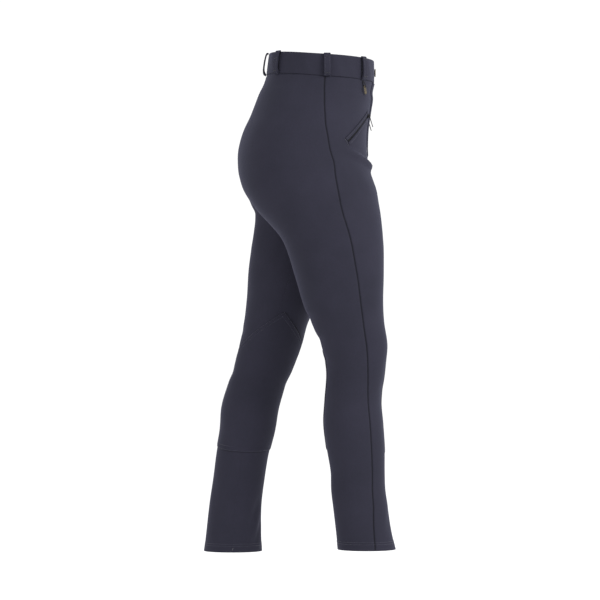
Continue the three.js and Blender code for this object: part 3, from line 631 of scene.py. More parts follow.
class Workshop:
    """Turns arrays of points into finished pieces."""

    seam_mark = "seam_mm"
    sharp = math.radians(40)

    def add(self, name: str, mesh: bpy.types.Mesh, material: bpy.types.Material) -> bpy.types.Object:
        """Links a mesh as a piece with one material."""
        mesh.materials.clear()
        mesh.materials.append(material)
        piece = bpy.data.objects.new(name, mesh)
        bpy.context.scene.collection.objects.link(piece)
        LOG.info("%s: %d faces", name, len(mesh.polygons))
        return piece

    def mesh_of(
        self,
        name: str,
        points: np.ndarray,
        faces: list,
        uv: np.ndarray | None = None,
        seams: np.ndarray | None = None,
    ) -> bpy.types.Mesh:
        """A smooth mesh from points in millimetres.

        Args:
            name: The mesh's name.
            points: One row for each vertex.
            faces: Corner numbers of each face.
            uv: Cloth coordinates of each vertex, in millimetres.
            seams: Distance of each vertex to its nearest seam.

        Returns:
            The mesh, with its faces outwards.
        """
        mesh = bpy.data.meshes.new(name)
        mesh.from_pydata((points * MM).tolist(), [], faces)
        if uv is not None:
            corners = np.zeros(len(mesh.loops), np.int32)
            mesh.loops.foreach_get("vertex_index", corners)
            layer = mesh.uv_layers.new(name="cloth")
            layer.data.foreach_set("uv", (uv[corners] * MM).astype(np.float32).ravel())
        if seams is not None:
            mark = mesh.attributes.new(self.seam_mark, "FLOAT", "POINT")
            mark.data.foreach_set("value", seams.astype(np.float32))
        mesh.shade_smooth()
        mesh.set_sharp_from_angle(angle=self.sharp)
        mesh.update()
        return mesh

    def faces_out(self, points: np.ndarray, faces: np.ndarray) -> np.ndarray:
        """Four-cornered faces, turned round where the closed shape they make is inside out."""
        a, b, c, d = (points[faces[:, corner]] for corner in range(4))
        volume = (a * np.cross(b, c)).sum() + (a * np.cross(c, d)).sum()
        return faces[:, ::-1] if volume < 0 else faces

    def wall(
        self, name: str, outer: np.ndarray, inner: np.ndarray, uv: np.ndarray, seams: np.ndarray
    ) -> bpy.types.Mesh:
        """A closed wall between two grids of points.

        Args:
            name: The mesh's name.
            outer: Points of the outer face, rows by columns by three.
            inner: The same for the inner face.
            uv: Cloth coordinates of the grid.
            seams: Distances to the nearest seam on the grid.

        Returns:
            The mesh.
        """
        rows, columns = outer.shape[:2]
        grid = np.arange(rows * columns).reshape(rows, columns)
        under = grid + rows * columns

        def quads(top: np.ndarray, bottom: np.ndarray) -> np.ndarray:
            corners = (top[..., :-1], top[..., 1:], bottom[..., 1:], bottom[..., :-1])
            return np.stack([corner.ravel() for corner in corners], axis=1)

        faces = [quads(grid[:-1], grid[1:]), quads(under[:-1], under[1:])[:, ::-1]]
        faces += [quads(under[0], grid[0]), quads(grid[-1], under[-1])]
        faces += [quads(grid[:, 0], under[:, 0]), quads(under[:, -1], grid[:, -1])]
        points = np.concatenate([outer.reshape(-1, 3), inner.reshape(-1, 3)])
        faces = self.faces_out(points, np.concatenate(faces))
        both = np.concatenate([uv.reshape(-1, 2)] * 2)
        marks = np.concatenate([seams.reshape(-1)] * 2)
        return self.mesh_of(name, points, faces.tolist(), both, marks)

    def sweep(
        self, name: str, rings: np.ndarray, uv: np.ndarray, seams: np.ndarray, closed: bool = False
    ) -> bpy.types.Mesh:
        """A tube through rings of points, with flat ends unless it closes on itself.

        Args:
            name: The mesh's name.
            rings: Ring by corner by three.
            uv: Cloth coordinates, ring by corner by two.
            seams: Distances to a seam, ring by corner.
            closed: Whether the last ring joins the first.

        Returns:
            The mesh.
        """
        count, corners = rings.shape[:2]
        grid = np.arange(count * corners).reshape(count, corners)
        after = np.roll(grid, -1, axis=1)
        top, bottom = (grid, np.roll(grid, -1, axis=0)) if closed else (grid[:-1], grid[1:])
        side_top, side_bottom = (after, np.roll(after, -1, axis=0)) if closed else (after[:-1], after[1:])
        sides = np.stack([top.ravel(), side_top.ravel(), side_bottom.ravel(), bottom.ravel()], axis=1)
        points = rings.reshape(-1, 3)
        turned = self.faces_out(points, sides)
        faces = turned.tolist()
        if not closed:
            flipped = turned is not sides
            first, last = grid[0].tolist(), grid[-1].tolist()
            faces += [first if flipped else first[::-1], last[::-1] if flipped else last]
        return self.mesh_of(name, points, faces, uv.reshape(-1, 2), seams.reshape(-1))


def feed(tree: bpy.types.NodeTree, socket: bpy.types.NodeSocket, value: object) -> None:
    """Feeds a socket from another one, or sets it to a plain value."""
    if isinstance(value, bpy.types.NodeSocket):
        tree.links.new(value, socket)
    else:
        socket.default_value = value


def add_node(tree: bpy.types.NodeTree, kind: str, links: dict | None, settings: dict) -> bpy.types.Node:
    """A new node in a tree, with its settings and what feeds its sockets."""
    node = tree.nodes.new(kind)
    for key, value in settings.items():
        setattr(node, key, value)
    for key, value in (links or {}).items():
        feed(tree, node.inputs[key], value)
    return node


class Nodes:
    """A material's node tree and the short ways of adding to it."""

    def __init__(self, name: str) -> None:
        """Makes a material with a surface shader alone."""
        self.material = bpy.data.materials.new(name)
        self.material.use_nodes = True
        self.tree = self.material.node_tree
        self.shader = self.tree.nodes["Principled BSDF"]

    def add(self, kind: str, links: dict | None = None, **settings: object) -> bpy.types.Node:
        """A new node, with its settings and what feeds its sockets."""
        return add_node(self.tree, kind, links, settings)

    def shade(self, **values: object) -> None:
        """Feeds the shader's sockets, named with underlines for spaces."""
        for key, value in values.items():
            feed(self.tree, self.shader.inputs[key.replace("_", " ")], value)

    def noise(self, scale: float, detail: float, vector: object, roughness: float = 0.5) -> bpy.types.NodeSocket:
        """A noise pattern."""
        links = {"Vector": vector, "Scale": scale, "Detail": detail, "Roughness": roughness}
        return self.add("ShaderNodeTexNoise", links).outputs["Fac"]

    def sums(self, operation: str, first: object, second: object = 0.0) -> bpy.types.NodeSocket:
        """A sum of two numbers."""
        return self.add("ShaderNodeMath", {0: first, 1: second}, operation=operation).outputs[0]

    def span(self, value: object, low: float, high: float, to_low: float, to_high: float) -> bpy.types.NodeSocket:
        """A number moved from one range to another and held there."""
        links = {"Value": value, "From Min": low, "From Max": high, "To Min": to_low, "To Max": to_high}
        return self.add("ShaderNodeMapRange", links).outputs["Result"]

    def blend(self, share: object, first: object, second: object) -> bpy.types.NodeSocket:
        """A colour between two."""
        node = self.add("ShaderNodeMix", data_type="RGBA")
        for socket, value in ((node.inputs[0], share), (node.inputs[6], first), (node.inputs[7], second)):
            feed(self.tree, socket, value)
        return node.outputs[2]

    def bump(self, height: object, strength: float, distance: float) -> bpy.types.NodeSocket:
        """A bump from a height pattern, whose distance is in metres."""
        links = {"Height": height, "Strength": strength, "Distance": distance}
        return self.add("ShaderNodeBump", links).outputs["Normal"]


def colour(red: float, green: float, blue: float) -> tuple[float, float, float, float]:
    """A shader colour from a screen colour of 0 to 255."""
    parts = [channel / 255 for channel in (red, green, blue)]
    linear = [part / 12.92 if part <= 0.04045 else ((part + 0.055) / 1.055) ** 2.4 for part in parts]
    return (*linear, 1.0)


@dataclass(frozen=True)
class ClothFinish:
    """Dark navy stretch cloth: a fine twill face with a matt bloom at grazing edges."""

    name: str
    dark: tuple[float, float, float, float]
    light: tuple[float, float, float, float]
    bloom: tuple[float, float, float, float]
    rib: float = 0.85
    bloom_weight: float = 0.12

    def make(self) -> bpy.types.Material:
        """The material, whose twill follows the cloth's own coordinates."""
        nodes = Nodes(self.name)
        cloth = nodes.add("ShaderNodeUVMap", uv_map="cloth").outputs["UV"]
        place = nodes.add("ShaderNodeTexCoord").outputs["Object"]
        turned = nodes.add(
            "ShaderNodeMapping", {"Vector": cloth, "Rotation": (0, 0, math.radians(62))}
        ).outputs["Vector"]
        ribs = nodes.add(
            "ShaderNodeTexWave",
            {"Vector": turned, "Scale": 1 / (self.rib * MM) * 0.05, "Distortion": 0.6, "Detail": 1.0},
            wave_type="BANDS",
            bands_direction="X",
        ).outputs["Fac"]
        fibres = nodes.noise(1500, 2, place, 0.6)
        nap = nodes.noise(260, 4, place, 0.65)
        clouds = nodes.noise(16, 3, place)
        tone = nodes.sums("ADD", nodes.sums("MULTIPLY", nap, 0.45), nodes.sums("MULTIPLY", fibres, 0.3))
        tone = nodes.sums("ADD", tone, nodes.sums("MULTIPLY", clouds, 0.35))
        tone = nodes.span(tone, 0.35, 0.75, 0.0, 1.0)
        face = nodes.blend(tone, self.dark, self.light)
        # Within about 2 mm of a seam or edge (seam_mm) the colour darkens towards near-black navy: partly the
        # seam's own dark line, partly painted shade of the groove.
        seam = nodes.add("ShaderNodeAttribute", attribute_name=Workshop.seam_mark).outputs["Fac"]
        seam_line_and_painted_shade = nodes.span(seam, 0.4, 2.0, 0.92, 0.0)
        shade = nodes.blend(seam_line_and_painted_shade, face, colour(14, 14, 20))
        weave = nodes.sums("ADD", nodes.sums("MULTIPLY", ribs, 0.25), nodes.sums("MULTIPLY", fibres, 0.5))
        weave = nodes.sums("ADD", weave, nodes.sums("MULTIPLY", nap, 0.5))
        nodes.shade(
            Base_Color=shade,
            Roughness=nodes.span(nap, 0.3, 0.7, 0.82, 0.95),
            Normal=nodes.bump(weave, 0.38, 0.0003),
            Specular_IOR_Level=0.16,
            Sheen_Weight=self.bloom_weight,
            Sheen_Roughness=0.42,
            Sheen_Tint=self.bloom,
        )
        return nodes.material


@dataclass(frozen=True)
class ThreadFinish:
    """Twisted sewing thread."""

    name: str
    tone: tuple[float, float, float, float]

    def make(self) -> bpy.types.Material:
        """The material."""
        nodes = Nodes(self.name)
        place = nodes.add("ShaderNodeTexCoord").outputs["Object"]
        twist = nodes.add(
            "ShaderNodeTexWave", {"Vector": place, "Scale": 900.0, "Distortion": 2.0}, bands_direction="DIAGONAL"
        ).outputs["Fac"]
        shade = nodes.blend(nodes.span(twist, 0, 1, 0.2, 0), self.tone, colour(16, 16, 22))
        nodes.shade(
            Base_Color=shade,
            Roughness=0.62,
            Specular_IOR_Level=0.3,
            Sheen_Weight=0.2,
            Normal=nodes.bump(twist, 0.3, 0.0001),
        )
        return nodes.material


@dataclass(frozen=True)
class MetalFinish:
    """Worn metal: a bright tone on high places and a dark one in hollows and stains."""

    name: str
    bright: tuple[float, float, float, float]
    stain: tuple[float, float, float, float]
    polish: float
    metallic: float = 1.0
    specular: float = 0.5

    def make(self) -> bpy.types.Material:
        """The material."""
        nodes = Nodes(self.name)
        place = nodes.add("ShaderNodeTexCoord").outputs["Object"]
        stains = nodes.noise(420, 5, place, 0.6)
        scratches = nodes.noise(2600, 2, place)
        worn = nodes.add("ShaderNodeNewGeometry").outputs["Pointiness"]
        high = nodes.span(worn, 0.46, 0.56, 0.0, 1.0)
        share = nodes.sums("MULTIPLY", nodes.span(stains, 0.42, 0.68, 1.0, 0.25), nodes.span(high, 0, 1, 0.55, 1.0))
        nodes.shade(
            Base_Color=nodes.blend(share, self.stain, self.bright),
            Metallic=self.metallic,
            Specular_IOR_Level=self.specular,
            Roughness=nodes.span(stains, 0.3, 0.7, self.polish, self.polish + 0.22),
            Normal=nodes.bump(scratches, 0.12, 0.0001),
        )
        return nodes.material


@dataclass(frozen=True)
class PlainFinish:
    """Nylon, cord or floor: one tone with a fine grain."""

    name: str
    tone: tuple[float, float, float, float]
    other: tuple[float, float, float, float]
    grain: float
    roughness: float
    depth: float = 0.0001

    def make(self) -> bpy.types.Material:
        """The material."""
        nodes = Nodes(self.name)
        place = nodes.add("ShaderNodeTexCoord").outputs["Object"]
        grain = nodes.noise(self.grain, 3, place)
        nodes.shade(
            Base_Color=nodes.blend(grain, self.tone, self.other),
            Roughness=nodes.span(grain, 0.3, 0.7, self.roughness - 0.08, self.roughness + 0.08),
            Specular_IOR_Level=0.35,
            Normal=nodes.bump(grain, 0.2, self.depth),
        )
        return nodes.material


class Finishes:
    """Every material of the object."""

    def __init__(self) -> None:
        """Makes them all."""
        bloom = colour(168, 172, 214)
        self.cloth = ClothFinish("navy cloth", colour(29, 29, 39), colour(39, 38, 50), bloom).make()
        self.band = ClothFinish("navy band cloth", colour(29, 29, 39), colour(39, 38, 50), bloom, 0.75).make()
        self.thread = ThreadFinish("navy thread", colour(46, 46, 60)).make()
        self.dark_thread = ThreadFinish("dark navy thread", colour(30, 30, 40)).make()
        self.brass = MetalFinish("antique brass", colour(122, 112, 93), colour(50, 46, 40), 0.38).make()
        self.black_metal = MetalFinish("black metal", colour(20, 20, 25), colour(9, 9, 11), 0.5, 0.0, 0.3).make()
        self.coil = PlainFinish("black nylon", colour(8, 8, 11), colour(13, 13, 17), 900, 0.6).make()
        self.tape = PlainFinish("zip tape", colour(10, 10, 14), colour(16, 16, 21), 1600, 0.9).make()
        self.cord = PlainFinish("black cord", colour(15, 15, 19), colour(27, 27, 33), 1800, 0.85).make()


class SewnRun:
    """Geometry Nodes that set small rounded pieces, such as stitches or teeth, along paths."""

    sizes = ("Pitch", "Length", "Width", "Height")
    seed = 7

    def __init__(self) -> None:
        """Builds the tree once."""
        self.tree = bpy.data.node_groups.new("sewn run", "GeometryNodeTree")
        self.sockets = {}
        self.build()

    def node(self, kind: str, links: dict | None = None, **settings: object) -> bpy.types.Node:
        """A new node, with its settings and what feeds its sockets."""
        return add_node(self.tree, kind, links, settings)

    def build(self) -> None:
        """Adds the inputs and nodes: paths, even places on them, and a rounded piece turned along each."""
        face = self.tree.interface
        face.new_socket("Geometry", in_out="INPUT", socket_type="NodeSocketGeometry")
        for name in self.sizes:
            socket = face.new_socket(name, in_out="INPUT", socket_type="NodeSocketFloat")
            self.sockets[name] = socket.identifier
        socket = face.new_socket("Material", in_out="INPUT", socket_type="NodeSocketMaterial")
        self.sockets["Material"] = socket.identifier
        face.new_socket("Geometry", in_out="OUTPUT", socket_type="NodeSocketGeometry")
        given = self.node("NodeGroupInput").outputs
        curve = self.node("GeometryNodeMeshToCurve", {"Mesh": given["Geometry"]}).outputs["Curve"]
        even = self.node("GeometryNodeResampleCurve", {"Curve": curve, "Length": given["Pitch"]}, mode="LENGTH")
        along = self.node("GeometryNodeInputTangent").outputs["Tangent"]
        up = self.node("GeometryNodeInputNamedAttribute", {"Name": "up"}, data_type="FLOAT_VECTOR")
        first = self.node("FunctionNodeAlignRotationToVector", {"Vector": along}, axis="X")
        second = self.node(
            "FunctionNodeAlignRotationToVector",
            {"Rotation": first.outputs["Rotation"], "Vector": up.outputs["Attribute"]},
            axis="Z",
            pivot_axis="X",
        )
        ball = self.node("GeometryNodeMeshUVSphere", {"Segments": 8, "Rings": 5, "Radius": 0.5})
        size = self.node("ShaderNodeCombineXYZ", {0: given["Length"], 1: given["Width"], 2: given["Height"]})
        shaped = self.node(
            "GeometryNodeTransform", {"Geometry": ball.outputs["Mesh"], "Scale": size.outputs["Vector"]}
        )
        vary = self.node("FunctionNodeRandomValue", {2: 0.93, 3: 1.07, "Seed": self.seed}, data_type="FLOAT")
        set_out = self.node(
            "GeometryNodeInstanceOnPoints",
            {
                "Points": even.outputs["Curve"],
                "Instance": shaped.outputs["Geometry"],
                "Rotation": second.outputs["Rotation"],
                "Scale": vary.outputs[1],
            },
        )
        real = self.node("GeometryNodeRealizeInstances", {"Geometry": set_out.outputs["Instances"]})
        round_it = self.node("GeometryNodeSetShadeSmooth", {"Geometry": real.outputs["Geometry"]})
        dressed = self.node(
            "GeometryNodeSetMaterial",
            {"Geometry": round_it.outputs["Geometry"], "Material": given["Material"]},
        )
        self.node("NodeGroupOutput", {"Geometry": dressed.outputs["Geometry"]})

    def make(
        self,
        name: str,
        paths: list[tuple[np.ndarray, np.ndarray]],
        sizes: tuple[float, float, float, float],
        material: bpy.types.Material,
    ) -> bpy.types.Object:
        """Sets pieces along paths.

        Args:
            name: The finished object's name.
            paths: For each path its points and the outward direction at each, in millimetres.
            sizes: Pitch, length, width and height of one piece, in millimetres.
            material: What it is made of.

        Returns:
            A plain mesh object.
        """
        points = np.vstack([path for path, _ in paths]) * MM
        ups = np.vstack([up for _, up in paths])
        edges, first = [], 0
        for path, _ in paths:
            edges += [(first + step, first + step + 1) for step in range(len(path) - 1)]
            first += len(path)
        mesh = bpy.data.meshes.new(name + " paths")
        mesh.from_pydata(points.tolist(), edges, [])
        attribute = mesh.attributes.new("up", "FLOAT_VECTOR", "POINT")
        attribute.data.foreach_set("vector", ups.astype(np.float32).ravel())
        base = bpy.data.objects.new(name + " paths", mesh)
        bpy.context.scene.collection.objects.link(base)
        modifier = base.modifiers.new("sewn run", "NODES")
        modifier.node_group = self.tree
        for key, value in zip(self.sizes, sizes):
            modifier[self.sockets[key]] = value * MM
        modifier[self.sockets["Material"]] = material
        graph = bpy.context.evaluated_depsgraph_get()
        made = bpy.data.meshes.new_from_object(base.evaluated_get(graph))
        made.name = name
        base.modifiers.remove(modifier)
        bpy.data.objects.remove(base)
        piece = bpy.data.objects.new(name, made)
        bpy.context.scene.collection.objects.link(piece)
        LOG.info("%s: %d faces", name, len(made.polygons))
        return piece


@dataclass
class Shop:
    """What every sub-assembly is made with."""

    cloth: Cloth
    workshop: Workshop
    finishes: Finishes
    sewn: SewnRun

    def ride(self, piece: bpy.types.Object, slot: Slot, body: Body = Body.GARMENT, *nodes: str) -> None:
        """Puts a piece on its body, in place of the nodes that it stands for."""
        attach(piece, body.value)
        if nodes:
            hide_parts(*nodes)

    def sheet(self, piece: bpy.types.Object, grid: np.ndarray, held: str, rests_on: list[str]) -> None:
        """Takes a cloth piece, its grid of points, how it is held and what it rests on, and does nothing with them.
        """

    def dress(
        self,
        mesh: bpy.types.Mesh,
        finish: bpy.types.Material,
        slot: Slot,
        node: str,
        body: Body = Body.GARMENT,
    ) -> bpy.types.Object:
        """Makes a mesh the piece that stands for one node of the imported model."""
        piece = self.workshop.add(mesh.name, mesh, finish)
        self.ride(piece, slot, body, node)
        return piece

    def sew(
        self,
        name: str,
        paths: list[tuple[np.ndarray, np.ndarray]],
        sizes: tuple[float, float, float, float],
        finish: bpy.types.Material,
        slot: Slot = Slot.CLOTH,
    ) -> None:
        """Sews along paths, as SewnRun.make does, on the garment."""
        self.ride(self.sewn.make(name, paths, sizes, finish), slot)


# Pitch, length, width and height of one stitch, one thread of a bar tack and one tooth
STITCH = (3.1, 2.3, 0.62, 0.42)
POCKET_STITCH = (2.7, 2.0, 0.55, 0.4)
TACK = (0.62, 0.7, 1.7, 0.75)
TOOTH = (1.15, 0.72, 1.5, 0.95)

LOOP_ANGLES = {
    "belt_loop_back": math.pi,
    "belt_loop_back_left": 2.45,
    "belt_loop_back_right": -2.45,
    "belt_loop_side_left": 1.486,
    "belt_loop_side_right": -1.486,
    "belt_loop_front_left": 0.73,
    "belt_loop_front_right": -0.73,
}


@dataclass
class Panels:
    """The two fronts and two backs, with their seams rolled in and hems turned up."""

    shop: Shop
    waist_rows: int = 36
    rise_rows: int = 42
    rise_crowding: float = 1.5
    row_step: float = 4.2
    column_step: float = 4.4
    edge_run: tuple[float, ...] = (0, 0.5, 1.1, 1.8, 2.7, 4, 6)
    roll_depth: float = 1.15
    roll_width: float = 1.9
    pucker: float = 0.22
    allowance: float = 6.4
    allowance_lift: float = 0.35
    hem_height: float = 18.0
    hem_lift: float = 0.45
    hem_rows: tuple[float, ...] = (12.0, 16.0)

    def heights(self, half: Half) -> np.ndarray:
        """Heights of the rows, closer by the waist seam, the crotch and the hem."""
        waist = np.linspace(PANEL_TOP, RISE_TOP, self.waist_rows, endpoint=False)
        share = 1 - np.arange(self.rise_rows) / self.rise_rows
        rise = CROTCH + RISE_HEIGHT * share**self.rise_crowding
        hem_top = half.hem + self.hem_height + 4
        count = round((CROTCH - hem_top) / self.row_step)
        leg = np.linspace(CROTCH, hem_top, count, endpoint=False)
        hem = np.linspace(hem_top, half.hem, 26)
        tuck = PANEL_TOP - np.array([0.6, 1.3, 2.2])
        return -np.unique(np.round(-np.concatenate([waist, tuck, rise, leg, hem]), 4))

    def seam_share(self, laid: Laid, heights: np.ndarray) -> np.ndarray:
        """How strongly the nearest seam shows: fully at the side and centre seams, little at the inseams."""
        inner = 1 - 0.82 * smooth((CROTCH - heights) / 50)
        return np.where(np.abs(laid.sides) <= laid.edges + 1e-6, 1.0, inner)

    def finish_of(self, half: Half, laid: Laid, z: np.ndarray) -> np.ndarray:
        """How far the outer face stands from the creased cloth: rolled into seams, raised at the hem."""
        heights = np.broadcast_to(z, laid.edges.shape)
        share = self.seam_share(laid, heights)
        roll = -self.roll_depth * share * bell(laid.edges, self.roll_width)
        waves = np.sin(heights / 2.3) + 0.6 * np.sin(heights / 3.7 + 1.1)
        puckers = self.pucker * share * waves * bell(laid.edges - 3.5, 3.2) * smooth(laid.edges / 2)
        pressed = smooth((-laid.sides - 0.9) / 1.1) * smooth((self.allowance + laid.sides) / 1.2)
        puckers = puckers + self.allowance_lift * pressed
        top = -0.7 * bell(PANEL_TOP - heights, 1.8)
        over = heights - half.hem
        hem = self.hem_lift * smooth((self.hem_height - over) / 2.0)
        for row in self.hem_rows:
            hem = hem - 0.3 * bell(over - row, 0.9)
        return roll + puckers + top + hem

    def columns(self, start: np.ndarray, end: np.ndarray) -> np.ndarray:
        """Cloth lengths of each row's points, closer by the seams."""
        edge = np.array(self.edge_run)
        count = max(8, round((end - start).max() / self.column_step))
        middle = np.linspace(0, 1, count)[None, 1:-1]
        inner = start[:, None] + edge[-1] + (end - start - 2 * edge[-1])[:, None] * middle
        return np.hstack([start[:, None] + edge, inner, end[:, None] - edge[::-1]])

    def panel(self, half: Half, is_front: bool) -> None:
        """Makes one panel in place of its solid."""
        name = ("front_" if is_front else "back_") + half.name
        z = self.heights(half)
        girth = self.shop.cloth.form.girth(half, z)
        start, end = (girth.start, girth.seams) if is_front else (girth.seams, girth.end)
        lengths = self.columns(start + SEWN_GAP, end - SEWN_GAP)
        laid = self.shop.cloth.lay(half, z, lengths)
        outside = laid.lifted(self.finish_of(half, laid, z[:, None]))
        outer = self.shop.cloth.keep_side(half, outside)
        inner = self.shop.cloth.keep_side(half, laid.lifted(-CLOTH))
        down = np.linalg.norm(np.diff(outer, axis=0), axis=-1).mean(axis=1)
        down = np.concatenate([[0], np.cumsum(down)])
        uv = np.stack([lengths, np.broadcast_to(-down[:, None], lengths.shape)], axis=-1)
        heights = np.broadcast_to(z[:, None], lengths.shape)
        # These seam distances set where the cloth material paints its seam line and shade: fully at the side and
        # centre seams, weakly at the inseams.
        marks = laid.edges + 4 * (1 - self.seam_share(laid, heights))
        mesh = self.shop.workshop.wall(name + "_cloth", outer, inner, uv, marks)
        piece = self.shop.dress(mesh, self.shop.finishes.cloth, Slot.CLOTH, name)
        self.shop.sheet(piece, outer, "stretched", ["waistband_cloth"])

    def hem_stitches(self, half: Half) -> None:
        """Two rows of stitches round a hem."""
        paths = []
        for row in self.hem_rows:
            z = np.array([half.hem + row])
            girth = self.shop.cloth.form.girth(half, z)
            lengths = np.linspace(girth.start + 1, girth.end - 1, 180).T
            laid = self.shop.cloth.lay(half, z, lengths)
            lift = self.finish_of(half, laid, z[:, None]) + 0.12
            paths.append((laid.lifted(lift)[0], laid.normals[0]))
        self.shop.sew("stitches_hem_" + half.name, paths, STITCH, self.shop.finishes.thread)

    def build(self) -> None:
        """Makes the panels and their hem stitches."""
        for half in HALVES:
            self.panel(half, True)
            self.panel(half, False)
            self.hem_stitches(half)


@dataclass(frozen=True)
class Reach:
    """How far a knee patch reaches from the inseam onto the front and the back at one height."""

    z: float
    front: float
    back: float


@dataclass
class KneePatches:
    """The inner knee patches, double stitched round their turned-under edges."""

    shop: Shop
    reaches: tuple[Reach, ...] = (
        Reach(z=-469, front=13, back=-7),
        Reach(z=-490, front=36, back=17),
        Reach(z=-511, front=59, back=43),
        Reach(z=-533, front=80, back=76),
        Reach(z=-549, front=82, back=94),
        Reach(z=-580, front=83, back=95),
        Reach(z=-660, front=82, back=88),
        Reach(z=-729, front=82, back=86),
    )
    outline: tuple[tuple[float, float], ...] = ((10, -466), (81, -534), (82, -729), (-86, -729), (-95, -550))
    shoulder: float = -545.0
    dip: float = 6.5
    tilt: float = 7.0
    lift: float = 0.25
    thickness: float = 1.2
    rows: tuple[float, float] = (2.0, 8.4)
    peak_rows: int = 26
    lower_rows: int = 70
    columns: int = 66

    def grid(self) -> tuple[np.ndarray, np.ndarray]:
        """Heights, and lengths out from the inseam, of the patch's points."""
        front, back = curve_of(self.reaches, "front"), curve_of(self.reaches, "back")
        peak, foot = self.reaches[0].z, self.reaches[-1].z
        upper = np.linspace(peak, self.shoulder, self.peak_rows, endpoint=False)
        level = np.concatenate([upper, np.linspace(self.shoulder, foot, self.lower_rows)])
        share = np.linspace(-1, 1, self.columns + 1)
        across = (share * (1.25 - 0.25 * share**2))[None]
        down = ((peak - level) / (peak - foot))[:, None]
        z = level[:, None] - (self.dip * (1 - across**2) + self.tilt * (1 + across) / 2) * down**6
        ahead, behind = front(level)[:, None], back(level)[:, None]
        out = (ahead - behind) / 2 + across * (ahead + behind) / 2
        return z, np.where(np.abs(out) < 1e-6, 1e-6, out)

    def corners(self, inset: float) -> np.ndarray:
        """Corners of the patch's outline, moved in from its edges."""
        outline = np.array(self.outline, float)
        moved = []
        for index in range(len(outline)):
            before, here, after = outline[index - 1], outline[index], outline[(index + 1) % len(outline)]
            first, second = here - before, after - here
            first, second = first / np.linalg.norm(first), second / np.linalg.norm(second)
            inwards = np.array([first[1], -first[0]]), np.array([second[1], -second[0]])
            middle = inwards[0] + inwards[1]
            moved.append(here + middle * inset / (1 + inwards[0] @ inwards[1]))
        return np.array(moved)

    def to_edge(self, z: np.ndarray, out: np.ndarray) -> np.ndarray:
        """Distance from each point of the patch to its outline."""
        corners = self.corners(0.0)
        bowed = z + self.bow(out, z)
        places = np.stack([out, bowed], axis=-1)
        nearest = np.full(z.shape, 1e3)
        for index in range(len(corners)):
            start, run = corners[index - 1], corners[index] - corners[index - 1]
            share = np.clip(((places - start) @ run) / (run @ run), 0, 1)
            away = places - start - share[..., None] * run
            nearest = np.minimum(nearest, np.linalg.norm(away, axis=-1))
        return nearest

    def bow(self, out: np.ndarray, z: np.ndarray) -> np.ndarray:
        """How far the lower edge's curve moves a place down."""
        peak, foot = self.reaches[0].z, self.reaches[-1]
        middle, half = (foot.front - foot.back) / 2, (foot.front + foot.back) / 2
        across = np.clip((out - middle) / half, -1, 1)
        down = np.clip((peak - z) / (peak - foot.z), 0, 1)
        return (self.dip * (1 - across**2) + self.tilt * (1 + across) / 2) * down**6

    def stand(self, edge: np.ndarray) -> np.ndarray:
        """How far the outer face stands above the patch's underside: round at the edge, drawn in at stitches."""
        rounded = np.sqrt(1 - (1 - np.clip(edge / 1.1, 0, 1)) ** 2)
        drawn = sum(0.4 * bell(edge - row, 1.0) for row in self.rows)
        plump = 0.35 * bell(edge - sum(self.rows) / 2, 2.2)
        return 0.15 + (self.thickness - 0.15) * rounded - drawn + plump

    def patch(self, half: Half) -> None:
        """Makes one patch in place of its solid, and its stitches."""
        z, out = self.grid()
        laid = self.shop.cloth.lay_from_seam(half, z, out)
        edge = self.to_edge(z, out)
        edge[:, [0, -1]] = 0
        edge[[0, -1], :] = 0
        outer = laid.lifted(self.lift + self.stand(edge))
        inner = laid.lifted(self.lift)
        uv = np.stack([out, z], axis=-1)
        name = "knee_patch_" + half.name
        # The patch's colour darkens along its outline: partly the edge's dark line, partly painted shade under the
        # edge.
        marks = np.maximum(edge - 0.2, 0) + 0.5
        mesh = self.shop.workshop.wall(name + "_cloth", outer, inner, uv, marks)
        piece = self.shop.dress(mesh, self.shop.finishes.cloth, Slot.CLOTH, name)
        under = ["front_" + half.name + "_cloth", "back_" + half.name + "_cloth"]
        self.shop.sheet(piece, outer, "laid", under)
        paths = [self.stitch_path(half, row) for row in self.rows]
        self.shop.sew("stitches_" + name, paths, STITCH, self.shop.finishes.thread)

    def stitch_path(self, half: Half, inset: float) -> tuple[np.ndarray, np.ndarray]:
        """One row of stitches round the patch."""
        corners = self.corners(inset)
        runs = []
        for index in range(len(corners)):
            start, end = corners[index], corners[(index + 1) % len(corners)]
            count = max(2, round(np.linalg.norm(end - start) / 4))
            runs.append(start + (end - start) * np.linspace(0, 1, count, endpoint=False)[:, None])
        places = np.vstack([*runs, corners[:1]])
        out, z = places[:, 0], places[:, 1]
        z = z - self.bow(out, z)
        out = np.where(np.abs(out) < 1e-6, 1e-6, out)
        laid = self.shop.cloth.lay_from_seam(half, z, out)
        lift = self.lift + self.stand(np.full(z.shape, inset)) + 0.1
        return laid.lifted(lift), laid.normals

    def build(self) -> None:
        """Makes both patches."""
        for half in HALVES:
            self.patch(half)


